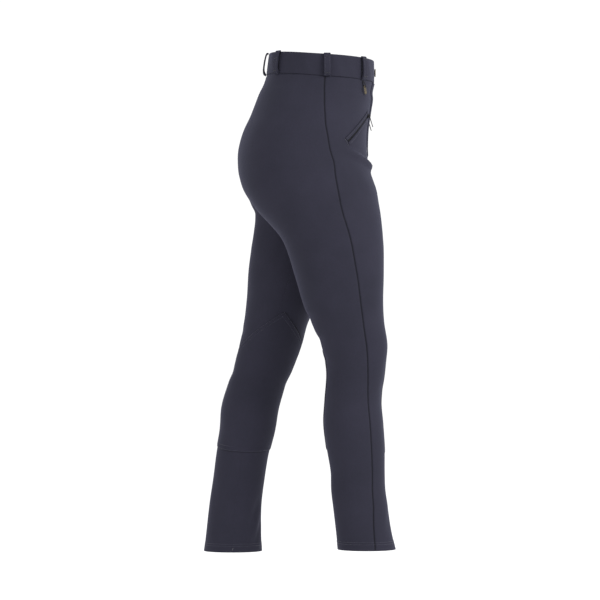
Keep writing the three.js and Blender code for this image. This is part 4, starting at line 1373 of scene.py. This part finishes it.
@dataclass
class FlyFront:
    """The flap over the fly, on the right front: a folded centre edge and a J of stitches."""

    shop: Shop
    width: float = 36.0
    top: float = -22.5
    bottom: float = -172.0
    lift: float = 0.45
    thickness: float = 1.7
    edge_gap: float = 0.4
    rows: tuple[float, float] = (4.5, 10.5)

    def stand(self, near: np.ndarray, far: np.ndarray) -> np.ndarray:
        """How far the outer face stands above the underside, by the distances to its two edges."""
        folded = np.sqrt(1 - (1 - np.clip(near / 1.2, 0, 1)) ** 2)
        soft = smooth(far / 3.4)
        drawn = sum(0.35 * bell(far - row, 1.0) for row in self.rows)
        return 0.1 + (self.thickness - 0.1) * np.minimum(folded, 0.12 + 0.88 * soft) - drawn * soft

    def build(self) -> None:
        """Makes the flap in place of its solid, and its stitches."""
        z = np.concatenate([np.linspace(self.top, self.bottom + self.width, 60), self.corner_heights()])
        sink = np.clip(self.bottom + self.width - z, 0, self.width)
        width = np.maximum(np.sqrt(self.width**2 - sink**2), 3.0)
        share = np.linspace(0, 1, 25)
        share = share - 0.1 * np.sin(2 * math.pi * share)
        out = self.edge_gap + width[:, None] * share[None]
        heights = np.broadcast_to(z[:, None], out.shape)
        laid = self.shop.cloth.lay_from_seam(RIGHT, heights, out)
        far = self.width - np.hypot(out - self.edge_gap, np.broadcast_to(sink[:, None], out.shape))
        outer = laid.lifted(self.lift + self.stand(out - self.edge_gap, np.maximum(far, 0)))
        inner = laid.lifted(self.lift)
        uv = np.stack([out, heights], axis=-1)
        # The flap's colour darkens along its folded centre edge: partly the edge's dark line, partly painted shade
        # beside the fold.
        marks = np.minimum(out - self.edge_gap, 20) + 0.6
        mesh = self.shop.workshop.wall("fly_front_cloth", outer, inner, uv, marks)
        piece = self.shop.dress(mesh, self.shop.finishes.cloth, Slot.CLOTH, "fly_front")
        self.shop.sheet(piece, outer, "laid", ["front_right_cloth"])
        paths = [self.stitch_path(row) for row in self.rows]
        self.shop.sew("stitches_fly", paths, STITCH, self.shop.finishes.thread)

    def corner_heights(self) -> np.ndarray:
        """Heights down the round corner, closer towards its foot."""
        turns = np.linspace(0, math.pi / 2, 22)[1:]
        return self.bottom + self.width - self.width * np.sin(turns) * 0.9965

    def stitch_path(self, inset: float) -> tuple[np.ndarray, np.ndarray]:
        """One row of stitches down the flap and round to the centre seam."""
        radius = self.width - inset
        corner = self.bottom + self.width
        straight = np.linspace(self.top - 1, corner, 40)
        turns = np.linspace(0, math.pi / 2, 16)[1:]
        out = np.concatenate([np.full(40, radius), radius * np.cos(turns)]) + self.edge_gap
        z = np.concatenate([straight, corner - radius * np.sin(turns)])
        laid = self.shop.cloth.lay_from_seam(RIGHT, z, np.maximum(out, 1.2))
        lift = self.lift + self.stand(np.full(z.shape, 9.0), np.full(z.shape, inset)) + 0.1
        return laid.lifted(lift), laid.normals


@dataclass(frozen=True)
class BandEdge:
    """One edge of the waistband: how far it reaches forwards, back and to the sides."""

    z: float
    front: float
    back: float
    side: float


@dataclass
class Band:
    """The waistband's form, which its loops, button and tag also follow."""

    edges: tuple[BandEdge, BandEdge] = (
        BandEdge(z=BAND_TOP, front=100.4, back=-101.4, side=127.4),
        BandEdge(z=BAND_BOTTOM, front=100.6, back=-106.4, side=129.4),
    )
    turn: float = 0.004

    def flat_point(self, z: np.ndarray, angle: np.ndarray) -> np.ndarray:
        """The level outline at a height."""
        front, back, side = (curve_of(self.edges, name)(z) for name in ("front", "back", "side"))
        forwards = signed_power(np.cos(angle), 2 / BAND_SQUARE)
        across = signed_power(np.sin(angle), 2 / BAND_SQUARE)
        x = (front + back) / 2 + (front - back) / 2 * forwards
        return np.stack([x, side * across, np.zeros(np.shape(x))], axis=-1)

    def outwards(self, z: np.ndarray, angle: np.ndarray) -> np.ndarray:
        """The level outward direction."""
        along = self.flat_point(z, angle + self.turn) - self.flat_point(z, angle - self.turn)
        out = np.stack([along[..., 1], -along[..., 0], np.zeros(along.shape[:-1])], axis=-1)
        return out / np.linalg.norm(out, axis=-1, keepdims=True)

    def point(self, z: np.ndarray, angle: np.ndarray, lift: np.ndarray | float) -> np.ndarray:
        """Points so far out from the band's face."""
        z, angle, lift = np.broadcast_arrays(*(np.asarray(part, float) for part in (z, angle, lift)))
        point = self.flat_point(z, angle) + self.outwards(z, angle) * lift[..., None]
        point[..., 2] = z + fall_at(point[..., 0])
        return point


@dataclass
class Waistband:
    """The folded band in one strip, its overlapped end over the other at the centre front."""

    shop: Shop
    band: Band
    underlap: float = 0.204
    overlap: float = 0.074
    tuck_start: float = 0.11
    tuck_end: float = 0.32
    steps: int = 420
    corner: float = 1.3
    crown: float = 0.35

    def profile(self) -> tuple[np.ndarray, np.ndarray]:
        """Heights and lifts round the band's cross-section, with folded edges."""
        half, depth = BAND_CLOTH / 2, self.corner
        heights, lifts = [], []
        for z in np.linspace(BAND_BOTTOM + depth, BAND_TOP - depth, 13):
            heights.append(z)
            lifts.append(0.0)
        for turn in np.linspace(0, math.pi, 9)[1:-1]:
            heights.append(BAND_TOP - depth + depth * math.sin(turn))
            lifts.append(-half + half * math.cos(turn))
        for z in np.linspace(BAND_TOP - depth, BAND_BOTTOM + depth, 9):
            heights.append(z)
            lifts.append(-BAND_CLOTH)
        for turn in np.linspace(0, math.pi, 9)[1:-1]:
            heights.append(BAND_BOTTOM + depth - depth * math.sin(turn))
            lifts.append(-half - half * math.cos(turn))
        return np.array(heights), np.array(lifts)

    def face_lift(self, z: np.ndarray, angle: np.ndarray) -> np.ndarray:
        """How the outer face crowns and waves between the loops."""
        share = (z - BAND_BOTTOM) / (BAND_TOP - BAND_BOTTOM)
        crown = self.crown * np.sin(math.pi * np.clip(share, 0, 1))
        turned = (angle + math.pi) % (2 * math.pi) - math.pi
        held = np.max([bell((turned - loop) * 110, 14) for loop in LOOP_ANGLES.values()], axis=0)
        held = np.maximum(held, bell(turned * 100, 30))
        waves = 0.35 * np.sin(angle * 9 + 0.6) + 0.25 * np.sin(angle * 23 + z / 9)
        return crown - 0.1 + waves * (1 - held)

    def build(self) -> None:
        """Makes the band in place of its solid."""
        heights, lifts = self.profile()
        angle = np.linspace(-self.underlap, 2 * math.pi + self.overlap, self.steps)[:, None]
        tuck = -(BAND_CLOTH + SEAM_GAP) * (
            1 - smooth((angle - self.tuck_start) / (self.tuck_end - self.tuck_start))
        )
        angles = np.broadcast_to(angle, (self.steps, len(heights)))
        z = np.broadcast_to(heights[None], angles.shape)
        outer_share = np.where(lifts > -BAND_CLOTH / 2, 1 + lifts / (BAND_CLOTH / 2), 0.0)[None]
        moved = self.face_lift(z, angles) * np.clip(outer_share, 0, 1)
        rings = self.band.point(z, angles, lifts[None] + tuck + moved)
        along = np.linalg.norm(np.diff(rings[:, 0], axis=0), axis=-1)
        along = np.concatenate([[0], np.cumsum(along)])
        uv = np.stack([np.broadcast_to(along[:, None], z.shape), z], axis=-1)
        # The band's colour darkens along its lower edge: partly the waist seam's dark line, partly painted shade
        # below the band.
        marks = np.maximum(z - BAND_BOTTOM, 0) * 1.6
        mesh = self.shop.workshop.sweep("waistband_cloth", rings, uv, marks)
        piece = self.shop.dress(mesh, self.shop.finishes.band, Slot.BAND, "waistband")
        self.shop.sheet(piece, rings[:, :13].transpose(1, 0, 2), "stretched", ["front_right_cloth"])


@dataclass(frozen=True)
class EdgePoint:
    """A corner of a belt loop's outline seen from its edge."""

    out: float
    z: float


@dataclass
class BeltLoops:
    """Folded strips that stand off the band, tacked at both ends."""

    shop: Shop
    band: Band
    width: float = 12.5
    edge_round: float = 0.6
    outline: tuple[EdgePoint, ...] = (
        EdgePoint(out=0.3, z=-21.5),
        EdgePoint(out=2.6, z=-21.5),
        EdgePoint(out=6.4, z=-18.5),
        EdgePoint(out=8.2, z=-10),
        EdgePoint(out=8, z=4),
        EdgePoint(out=7, z=16),
        EdgePoint(out=5.4, z=21.4),
        EdgePoint(out=3.8, z=22.8),
        EdgePoint(out=0.3, z=22.8),
        EdgePoint(out=0.3, z=20),
        EdgePoint(out=3.1, z=19.8),
        EdgePoint(out=4.4, z=15),
        EdgePoint(out=5.1, z=4),
        EdgePoint(out=5.2, z=-8),
        EdgePoint(out=3.4, z=-14.5),
        EdgePoint(out=0.3, z=-18),
    )

    def round_outline(self, angle: float) -> np.ndarray:
        """The outline as close-set points of (out from the loop's origin, height), its corners softened."""
        origin = self.band.point(0.0, angle, 0.0)
        out = self.band.outwards(np.array(0.0), np.array(angle))
        corners = []
        for corner in self.outline:
            face = self.band.point(np.clip(corner.z, BAND_BOTTOM, BAND_TOP), angle, 0.0)
            corners.append(((face - origin) @ out + corner.out, corner.z))
        points = np.array(corners)
        for _ in range(3):
            after = np.roll(points, -1, axis=0)
            points = np.stack([0.75 * points + 0.25 * after, 0.25 * points + 0.75 * after], 1)
            points = points.reshape(-1, 2)
        return points

    def loop(self, name: str, angle: float) -> None:
        """Makes one loop in place of its solid, with two edge rows and a bar tack at each end."""
        outline = self.round_outline(angle)
        origin = self.band.point(0.0, angle, 0.0)
        out = self.band.outwards(np.array(0.0), np.array(angle))
        up = np.array([0.0, 0.0, 1.0])
        across = np.cross(out, up)
        tangent = np.roll(outline, -1, axis=0) - np.roll(outline, 1, axis=0)
        inwards = np.stack([-tangent[:, 1], tangent[:, 0]], axis=1)
        inwards /= np.linalg.norm(inwards, axis=1, keepdims=True)
        turns = np.linspace(0, math.pi / 2, 5)
        side = self.width / 2 - self.edge_round * (1 - np.sin(turns))
        inset = self.edge_round * (1 - np.cos(turns))
        places = np.concatenate([-side[::-1], np.linspace(-3.2, 3.2, 5), side])
        insets = np.concatenate([inset[::-1], np.zeros(5), inset])
        rings = []
        for place, depth in zip(places, insets):
            ring = outline + inwards * depth
            rings.append(origin + ring[:, :1] * out + ring[:, 1:] * up + place * across)
        rings = np.array(rings)
        run = np.concatenate([[0], np.cumsum(np.linalg.norm(np.diff(outline, axis=0), axis=1))])
        uv = np.stack(np.broadcast_arrays(places[:, None], run[None]), axis=-1)
        marks = np.full(rings.shape[:2], 20.0)
        mesh = self.shop.workshop.sweep(name + "_cloth", rings, uv, marks)
        piece = self.shop.dress(mesh, self.shop.finishes.band, Slot.BAND, name)
        shown = rings[:, : len(outline) // 2]
        self.shop.sheet(piece, shown, "stretched", ["waistband_cloth"])
        self.sew(name, outline, origin, out, up, across)

    def sew(
        self,
        name: str,
        outline: np.ndarray,
        origin: np.ndarray,
        out: np.ndarray,
        up: np.ndarray,
        across: np.ndarray,
    ) -> None:
        """Sews one loop: two rows down its face and a bar tack at its head and foot."""
        face = outline[(outline[:, 0] > outline[:, 0].max() - 2.4) & (outline[:, 1] > -19)]
        face = face[(face[:, 0] > np.interp(face[:, 1], [-19, 20], [5.6, 4.6]))]
        face = face[face[:, 1].argsort()]
        slope = np.gradient(face, axis=0)
        lean = np.stack([slope[:, 1], -slope[:, 0]], axis=1)
        lean /= np.linalg.norm(lean, axis=1, keepdims=True)
        normals = lean[:, :1] * out + lean[:, 1:] * up
        points = origin + face[:, :1] * out + face[:, 1:] * up + normals * 0.1
        rows = [(points + across * place, normals) for place in (-4.3, 4.3)]
        self.shop.sew("stitches_" + name, rows, STITCH, self.shop.finishes.thread, Slot.BAND)
        tacks = []
        for height in (-15.5, 17.5):
            index = np.abs(face[:, 1] - height).argmin()
            middle, normal = points[index] - normals[index] * 0.05, normals[index]
            ends = np.array([middle - across * 4.9, middle + across * 4.9])
            tacks.append((ends, np.array([normal, normal])))
        self.shop.sew("tacks_" + name, tacks, TACK, self.shop.finishes.dark_thread, Slot.BAND)

    def build(self) -> None:
        """Makes every loop."""
        for name, angle in LOOP_ANGLES.items():
            self.loop(name, angle)


@dataclass
class Trims:
    """Short ways of making the small hard pieces."""

    workshop: Workshop

    def plate(
        self, name: str, outlines: list[np.ndarray], thickness: float, bevel: float, place: Matrix
    ) -> bpy.types.Mesh:
        """A flat plate with rounded edges and holes.

        Args:
            name: The mesh's name.
            outlines: Its outline, then its holes, in millimetres.
            thickness: Its whole thickness.
            bevel: The radius of its edges.
            place: Its frame, in millimetres.

        Returns:
            The mesh.
        """
        curve = bpy.data.curves.new(name, "CURVE")
        curve.dimensions = "2D"
        curve.fill_mode = "BOTH"
        curve.extrude = thickness / 2 - bevel
        curve.bevel_depth = bevel
        curve.bevel_resolution = 3
        curve.offset = -bevel
        for outline in outlines:
            spline = curve.splines.new("POLY")
            spline.points.add(len(outline) - 1)
            flat = [(x, y, 0.0, 1.0) for x, y in outline]
            spline.points.foreach_set("co", np.array(flat, np.float32).ravel())
            spline.use_cyclic_u = True
        holder = bpy.data.objects.new(name, curve)
        bpy.context.scene.collection.objects.link(holder)
        graph = bpy.context.evaluated_depsgraph_get()
        mesh = bpy.data.meshes.new_from_object(holder.evaluated_get(graph))
        bpy.data.objects.remove(holder)
        mesh.name = name
        mesh.transform(Matrix.Scale(MM, 4) @ place)
        mesh.shade_smooth()
        mesh.set_sharp_from_angle(angle=Workshop.sharp)
        return mesh

    def lathe(self, name: str, profile: np.ndarray, place: Matrix, segments: int = 64) -> bpy.types.Mesh:
        """A turned piece from a profile of (radius, height), closed on its axis."""
        turns = np.linspace(0, 2 * math.pi, segments, endpoint=False)
        body = profile[1:-1]
        rings = np.stack(
            [
                body[:, 0, None] * np.cos(turns),
                body[:, 0, None] * np.sin(turns),
                np.broadcast_to(body[:, 1, None], (len(body), segments)),
            ],
            axis=-1,
        ).reshape(-1, 3)
        points = np.vstack([rings, [[0, 0, profile[0, 1]], [0, 0, profile[-1, 1]]]])
        foot, head = len(rings), len(rings) + 1
        faces = []
        for row in range(len(body) - 1):
            for step in range(segments):
                after = (step + 1) % segments
                low, high = row * segments, (row + 1) * segments
                faces.append((low + step, low + after, high + after, high + step))
        last = (len(body) - 1) * segments
        for step in range(segments):
            after = (step + 1) % segments
            faces.append((foot, after, step))
            faces.append((head, last + step, last + after))
        moved = np.array([place @ Vector(point) for point in points])
        return self.workshop.mesh_of(name, moved, faces)


def arc(middle: tuple[float, float], radius: float, start: float, end: float, steps: int) -> np.ndarray:
    """Points along an arc, its angles in degrees."""
    turns = np.radians(np.linspace(start, end, steps))
    return np.stack([middle[0] + radius * np.cos(turns), middle[1] + radius * np.sin(turns)], axis=1)


def rounded_rectangle(width: float, length: float, radius: float, steps: int = 7) -> np.ndarray:
    """A rectangle about the origin with round corners."""
    x, y = width / 2 - radius, length / 2 - radius
    corners = ((x, y, 0), (-x, y, 90), (-x, -y, 180), (x, -y, 270))
    return np.vstack([arc((cx, cy), radius, turn, turn + 90, steps) for cx, cy, turn in corners])


@dataclass
class WaistButton:
    """The turned brass button: rolled rim, dished ring and low middle boss."""

    shop: Shop
    band: Band
    height: float = -0.8

    def build(self) -> None:
        """Makes the button in place of its solid."""
        rim = arc((7.1, 1.45), 0.85, -80, 130, 12)
        dish = np.array([(5.9, 1.75), (5.3, 1.55), (4.8, 1.62)])
        bead = arc((4.35, 1.6), 0.42, 20, 160, 7)
        boss = np.array([(3.6, 1.55), (3.1, 1.7), (2.3, 2.05), (1.2, 2.3)])
        profile = np.vstack([[(0, 0)], [(6.6, 0)], rim, dish, bead, boss, [(0, 2.4)]])
        origin = self.band.point(self.height, 0.0, SEAM_GAP + 0.25)
        turn = Matrix.Rotation(math.pi / 2, 4, "Y")
        place = Matrix.Translation(origin) @ turn
        mesh = Trims(self.shop.workshop).lathe("waist_button_brass", profile, place)
        self.shop.dress(mesh, self.shop.finishes.brass, Slot.BRASS, "waist_button")


@dataclass
class Pockets:
    """The slanting front zip pockets: two padded welts, the coil between them, a slider and its pull."""

    shop: Shop
    top: tuple[float, float] = (57.0, -90.5)
    end: tuple[float, float] = (140.5, -148.0)
    welt_width: float = 7.0
    welt_thickness: float = 1.8
    zip_width: float = 2.6
    zip_thickness: float = 1.0
    lift: float = 0.55
    slider_width: float = 6.0
    slider_length: float = 8.0
    slider_thickness: float = 1.8
    arch_width: float = 1.8
    pin_height: float = 3.3
    pin: float = 1.0
    pull_width: float = 4.2
    pull_length: float = 22.0
    pull_thickness: float = 1.1
    pull_tail: float = 2.8
    eye_length: float = 3.1
    eye_width: float = 2.8
    lean: float = math.radians(24)

    @property
    def length(self) -> float:
        """Length of the pocket's line."""
        return math.dist(self.top, self.end)

    def place(self, share: np.ndarray, across: np.ndarray) -> tuple[np.ndarray, np.ndarray]:
        """(length from the centre front, height) at a share of the pocket's line and a distance beside it."""
        run, drop = self.end[0] - self.top[0], self.end[1] - self.top[1]
        out = self.top[0] + run * share + across * drop / self.length
        z = self.top[1] + drop * share - across * run / self.length
        return out, z

    def strip(
        self, half: Half, shares: np.ndarray, across: np.ndarray, lifts: np.ndarray
    ) -> tuple[np.ndarray, np.ndarray]:
        """Outer points and underside points of a strip beside the pocket's line."""
        out, z = self.place(*np.broadcast_arrays(shares[:, None], across[None]))
        laid = self.shop.cloth.lay_from_seam(half, z, out)
        return laid.lifted(self.lift + lifts), laid.lifted(np.full(z.shape, 0.12))

    def welt(self, half: Half, is_lower: bool) -> None:
        """Makes one welt in place of its solid."""
        name = ("pocket_welt_lower_" if is_lower else "pocket_welt_upper_") + half.name
        slit = self.zip_width / 2 + SEAM_GAP
        sign = 1 if is_lower else -1
        widths = self.welt_width * (0.5 - 0.5 * np.cos(np.linspace(0, math.pi, 15)))
        shares = 0.5 - 0.5 * np.cos(np.linspace(0, math.pi, 90))
        slit_side = np.sqrt(1 - (1 - np.clip(widths / 1.3, 0, 1)) ** 2)
        seam_side = smooth((self.welt_width - widths) / 1.8)
        ends = np.sqrt(1 - (1 - np.clip(np.minimum(shares, 1 - shares) * self.length / 1.2, 0, 1)) ** 2)
        stand = self.welt_thickness * np.minimum(slit_side, 0.1 + 0.9 * seam_side)
        drawn = 0.3 * bell(self.welt_width - widths - 1.9, 0.8)
        lifts = (stand - drawn)[None] * ends[:, None] - 0.3 * (1 - ends[:, None])
        outer, inner = self.strip(half, shares, sign * (slit + widths), lifts)
        uv = np.stack(np.broadcast_arrays(shares[:, None] * self.length, widths[None]), axis=-1)
        # The welts' colour darkens by the slit and along their outer seams: partly seam lines, partly painted shade
        # of the slit.
        marks = np.broadcast_to(np.minimum(widths, self.welt_width - widths)[None] + 0.9, lifts.shape)
        mesh = self.shop.workshop.wall(name + "_cloth", outer, inner, uv, marks)
        piece = self.shop.dress(mesh, self.shop.finishes.cloth, Slot.CLOTH, name)
        self.shop.sheet(piece, outer, "laid", ["front_" + half.name + "_cloth"])

    def coil(self, half: Half) -> None:
        """Makes the zip's tape and coil in place of their solid."""
        shares = np.linspace(0.03, 0.97, 80)
        across = np.linspace(-1.55, 1.55, 7)
        outer, inner = self.strip(half, shares, across, np.zeros((80, 7)))
        uv = np.stack(np.broadcast_arrays(shares[:, None] * self.length, across[None]), axis=-1)
        mesh = self.shop.workshop.wall("pocket_tape_" + half.name, outer, inner, uv, np.full((80, 7), 20.0))
        self.shop.dress(mesh, self.shop.finishes.tape, Slot.ZIP, "pocket_zip_" + half.name)
        paths = []
        for side in (-0.62, 0.62):
            out, z = self.place(np.linspace(0.05 + side * 0.003, 0.96, 60), np.full(60, side))
            laid = self.shop.cloth.lay_from_seam(half, z, out)
            paths.append((laid.lifted(np.full(60, self.lift + 0.45)), laid.normals))
        self.shop.sew("pocket_coil_" + half.name, paths, TOOTH, self.shop.finishes.coil, Slot.ZIP)

    def stitches(self, half: Half) -> None:
        """Sews round the welts, with a bar tack across each end."""
        reach = self.zip_width / 2 + SEAM_GAP + self.welt_width
        sides, heights = [], self.lift + self.welt_thickness * 0.62
        for across in (reach - 1.9, 1.9 - reach):
            out, z = self.place(np.linspace(0.012, 0.988, 50), np.full(50, across))
            laid = self.shop.cloth.lay_from_seam(half, z, out)
            sides.append((laid.lifted(np.full(50, heights + 0.38)), laid.normals))
        self.shop.sew("stitches_pocket_" + half.name, sides, POCKET_STITCH, self.shop.finishes.thread)
        tacks = []
        for share in (-0.012, 1.012):
            out, z = self.place(np.full(9, share), np.linspace(-reach + 1, reach - 1, 9))
            laid = self.shop.cloth.lay_from_seam(half, z, out)
            tacks.append((laid.lifted(np.full(9, 0.35)), laid.normals))
        self.shop.sew("tacks_pocket_" + half.name, tacks, TACK, self.shop.finishes.thread)

    def slider_frame(self, half: Half) -> Matrix:
        """The slider's frame: X along the pin, Y up the pull, Z out, its origin on the welts' faces."""
        z = np.array([self.top[1] - 3.4])
        form = self.shop.cloth.form
        girth = form.girth(half, z)
        angle = girth.angle_at((girth.start + self.top[0] + 5.4)[:, None])[:, 0]
        face = form.points(half, z, angle)[0]
        normal = Vector(form.normals(half, z, angle)[0])
        pin = Vector((0, 0, 1)).cross(normal).normalized()
        up = normal.cross(pin)
        origin = Vector(face) + normal * (self.lift + self.welt_thickness + SEAM_GAP)
        frame = Matrix((pin, up, normal)).transposed().to_4x4()
        frame.translation = origin
        return frame

    def slider(self, half: Half) -> None:
        """Makes the slider in place of its solid: a body and a bridge over the pin."""
        frame = self.slider_frame(half)
        trims = Trims(self.shop.workshop)
        tapered = rounded_rectangle(self.slider_width, self.slider_length, 1.6)
        tapered[:, 0] *= 1 - 0.1 * (tapered[:, 1] < 0)
        lay = Matrix.Translation((0, 0, self.slider_thickness / 2))
        body = trims.plate("body", [tapered], self.slider_thickness, 0.45, frame @ lay)
        arch = np.array([(-2.5, 0.9), (2.5, 0.9), (2.5, 4.3), (1.7, 5.4), (-1.7, 5.4), (-2.5, 4.3)])
        hole = np.array([(-1.4, 2.2), (-1.4, 3.9), (-0.9, 4.5), (0.9, 4.5), (1.4, 3.9), (1.4, 2.2)])
        stand = Matrix(((0, 0, 1, 0), (1, 0, 0, 0), (0, 1, 0, 0), (0, 0, 0, 1)))
        bridge = trims.plate("bridge", [arch, hole], self.arch_width, 0.22, frame @ stand)
        mesh = self.joined("pocket_slider_" + half.name + "_metal", [body, bridge])
        self.shop.dress(mesh, self.shop.finishes.black_metal, Slot.BLACK_METAL, "pocket_slider_" + half.name)

    def joined(self, name: str, meshes: list[bpy.types.Mesh]) -> bpy.types.Mesh:
        """Several meshes in one."""
        points, faces, first = [], [], 0
        for mesh in meshes:
            points += [vertex.co / MM for vertex in mesh.vertices]
            faces += [[first + corner for corner in polygon.vertices] for polygon in mesh.polygons]
            first += len(mesh.vertices)
        return self.shop.workshop.mesh_of(name, np.array(points), faces)

    def pull(self, half: Half, body: Body) -> None:
        """Makes the pull tab in place of its solid."""
        top, half_width, tail = self.pin / 2, self.pull_width / 2, self.pull_tail / 2
        foot = -self.pull_length
        right = np.array(
            [
                (half_width, top - 0.5),
                (half_width, -self.eye_length - 0.6),
                (tail, -self.eye_length - 3),
                (tail, foot + 1.2),
            ]
        )
        left = right[::-1] * np.array([-1, 1])
        foot_arc = arc((0, foot + tail), tail, 0, -180, 9)[1:-1]
        head = arc((0, top - 0.5), half_width, 170, 10, 7) * np.array([1, 0.24])
        head += np.array([0, (top - 0.5) * 0.76])
        outline = np.vstack([right[:3], foot_arc, left[1:], head])
        eye = np.array(
            [
                (-self.eye_width / 2, -top),
                (self.eye_width / 2, -top),
                (self.eye_width / 2, -self.eye_length - top),
                (-self.eye_width / 2, -self.eye_length - top),
            ]
        )
        lean = Matrix.Rotation(-self.lean, 4, "X")
        place = self.slider_frame(half) @ Matrix.Translation((0, 0, self.pin_height)) @ lean
        mesh = Trims(self.shop.workshop).plate(
            "pocket_pull_" + half.name + "_metal", [outline, eye], self.pull_thickness, 0.25, place
        )
        node = "pocket_pull_" + half.name
        self.shop.dress(mesh, self.shop.finishes.black_metal, Slot.BLACK_METAL, node, body)

    def build(self) -> None:
        """Makes both pockets."""
        for half, body in ((RIGHT, Body.PULL_RIGHT), (LEFT, Body.PULL_LEFT)):
            self.welt(half, True)
            self.welt(half, False)
            self.coil(half)
            self.stitches(half)
            self.slider(half)
            self.pull(half, body)


@dataclass
class TagLoop:
    """The brass tag on its short cord below the right front belt loop."""

    shop: Shop
    band: Band
    angle: float = LOOP_ANGLES["belt_loop_front_right"]
    length: float = 17.0
    width: float = 6.6
    thickness: float = 1.2
    eye: float = 3.2
    lean: float = math.radians(14)
    drop: float = 14.5
    lift: float = 2.4
    cord: float = 1.8
    cord_lean: float = 4.5
    cord_steps: int = 9

    def frame(self) -> Matrix:
        """The tag's frame: X level along the cloth, Y up, Z out, its origin in the middle of the eye."""
        outwards = Vector(self.band.outwards(np.array(0.0), np.array(self.angle)))
        level = Vector((0, 0, 1)).cross(outwards).normalized()
        seam = Vector(self.band.point(BAND_BOTTOM, self.angle, 0.0))
        origin = seam + outwards * self.lift + level * self.cord_lean
        origin.z += PANEL_TOP - self.drop - BAND_BOTTOM
        frame = Matrix((level, Vector((0, 0, 1)), outwards)).transposed().to_4x4()
        frame.translation = origin
        return frame

    def tag(self) -> None:
        """Makes the tag in place of its solid."""
        half, foot = self.width / 2, self.eye - self.length
        outline = np.vstack([arc((0, 0), half, 0, 180, 20), arc((0, foot + half), half, 180, 360, 20)])
        hole = arc((0, 0), self.eye / 2, 0, 345, 24)
        place = self.frame() @ Matrix.Rotation(self.lean, 4, "Z")
        mesh = Trims(self.shop.workshop).plate("brass_tag_plate", [outline, hole], self.thickness, 0.3, place)
        self.shop.dress(mesh, self.shop.finishes.brass, Slot.BRASS, "brass_tag", Body.TAG)

    def tag_cord(self) -> None:
        """Makes the braided cord through the tag's eye in place of its solid."""
        top, lean = self.drop - 3.2, self.cord_lean
        route = np.array(
            [
                (-lean, top, 0.4),
                (-2.8, 7.4, 2),
                (-0.5, 2.6, 2.4),
                (0, 0, 1),
                (0, 0, -1),
                (-0.5, 2.6, -2.3),
                (-3, 7.2, -2.1),
                (-lean, top, -1.6),
            ]
        )
        path = spline(route, self.cord_steps)
        along = np.gradient(path, axis=0)
        along /= np.linalg.norm(along, axis=1, keepdims=True)
        side = np.cross(along, (1.0, 0.15, 0.0))
        side /= np.linalg.norm(side, axis=1, keepdims=True)
        over = np.cross(along, side)
        run = np.concatenate([[0], np.cumsum(np.linalg.norm(np.diff(path, axis=0), axis=1))])
        turns = np.linspace(0, 2 * math.pi, 24, endpoint=False)
        braid = np.cos(4 * turns[None] + run[:, None] * 2.6) * np.cos(4 * turns[None] - run[:, None] * 2.6)
        radius = self.cord / 2 * (0.95 + 0.06 * braid)
        ring = radius[..., None] * (
            side[:, None] * np.cos(turns)[None, :, None] + over[:, None] * np.sin(turns)[None, :, None]
        )
        frame = np.array(self.frame())
        rings = (path[:, None] + ring) @ frame[:3, :3].T + frame[:3, 3]
        uv = np.stack(np.broadcast_arrays(turns[None], run[:, None]), axis=-1)
        mesh = self.shop.workshop.sweep("tag_cord_braid", rings, uv, np.full(rings.shape[:2], 20.0))
        self.shop.dress(mesh, self.shop.finishes.cord, Slot.CORD, "tag_cord")

    def build(self) -> None:
        """Makes the tag and its cord."""
        self.tag()
        self.tag_cord()


@dataclass
class Studio:
    """A plain pale floor, soft light from all round and the photograph's level view from the right."""

    camera_place: tuple[float, float, float] = (-0.0418, -6.0, -0.4452)
    lens: float = 187.5
    sensor: float = 36.0
    floor_height: float = -1.07
    floor_size: float = 60.0
    world: float = 1.06

    def floor(self) -> None:
        """Makes the floor."""
        half = self.floor_size / 2
        corners = [(-half, -half), (half, -half), (half, half), (-half, half)]
        mesh = bpy.data.meshes.new("floor")
        mesh.from_pydata([(x, y, self.floor_height) for x, y in corners], [], [(0, 1, 2, 3)])
        finish = PlainFinish("pale floor", colour(253, 253, 253), colour(251, 251, 251), 4, 0.9)
        mesh.materials.append(finish.make())
        floor = bpy.data.objects.new("floor", mesh)
        bpy.context.scene.collection.objects.link(floor)

    def lamp(self, name: str, place: tuple, aim: tuple, size: tuple, power: float) -> None:
        """Adds a soft area light aimed at a point."""
        data = bpy.data.lights.new(name, "AREA")
        data.shape = "RECTANGLE"
        data.size, data.size_y = size
        data.energy = power
        lamp = bpy.data.objects.new(name, data)
        lamp.location = place
        lamp.rotation_euler = (Vector(aim) - Vector(place)).to_track_quat("-Z", "Y").to_euler()
        bpy.context.scene.collection.objects.link(lamp)

    def build(self) -> None:
        """Sets the world, lights, floor and camera."""
        scene = bpy.context.scene
        scene.view_settings.view_transform = "Standard"
        world = bpy.data.worlds.new("studio")
        world.use_nodes = True
        background = world.node_tree.nodes["Background"]
        background.inputs["Color"].default_value = (1.0, 1.0, 1.0, 1.0)
        background.inputs["Strength"].default_value = self.world
        scene.world = world
        self.floor()
        aim = (0.0, 0.0, -0.25)
        self.lamp("front light", (2.8, -2.2, 1.5), aim, (1.6, 2.0), 122.0)
        self.lamp("camera light", (0.6, -4.0, 2.2), aim, (2.2, 1.6), 12.0)
        self.lamp("left light", (-2.6, -2.8, 1.1), aim, (1.6, 2.2), 24.0)
        data = bpy.data.cameras.new("camera")
        data.lens = self.lens
        data.sensor_width = self.sensor
        camera = bpy.data.objects.new("camera", data)
        camera.location = self.camera_place
        camera.rotation_euler = (math.pi / 2, 0.0, 0.0)
        scene.collection.objects.link(camera)
        scene.camera = camera


def main() -> None:
    """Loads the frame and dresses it."""
    logging.basicConfig(level=logging.INFO, format="%(name)s %(message)s")
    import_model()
    Studio().build()
    band = Band()
    shop = Shop(Cloth(Form()), Workshop(), Finishes(), SewnRun())
    Panels(shop).build()
    KneePatches(shop).build()
    FlyFront(shop).build()
    Waistband(shop, band).build()
    BeltLoops(shop, band).build()
    WaistButton(shop, band).build()
    Pockets(shop).build()
    TagLoop(shop, band).build()


if __name__ == "__main__":
    main()
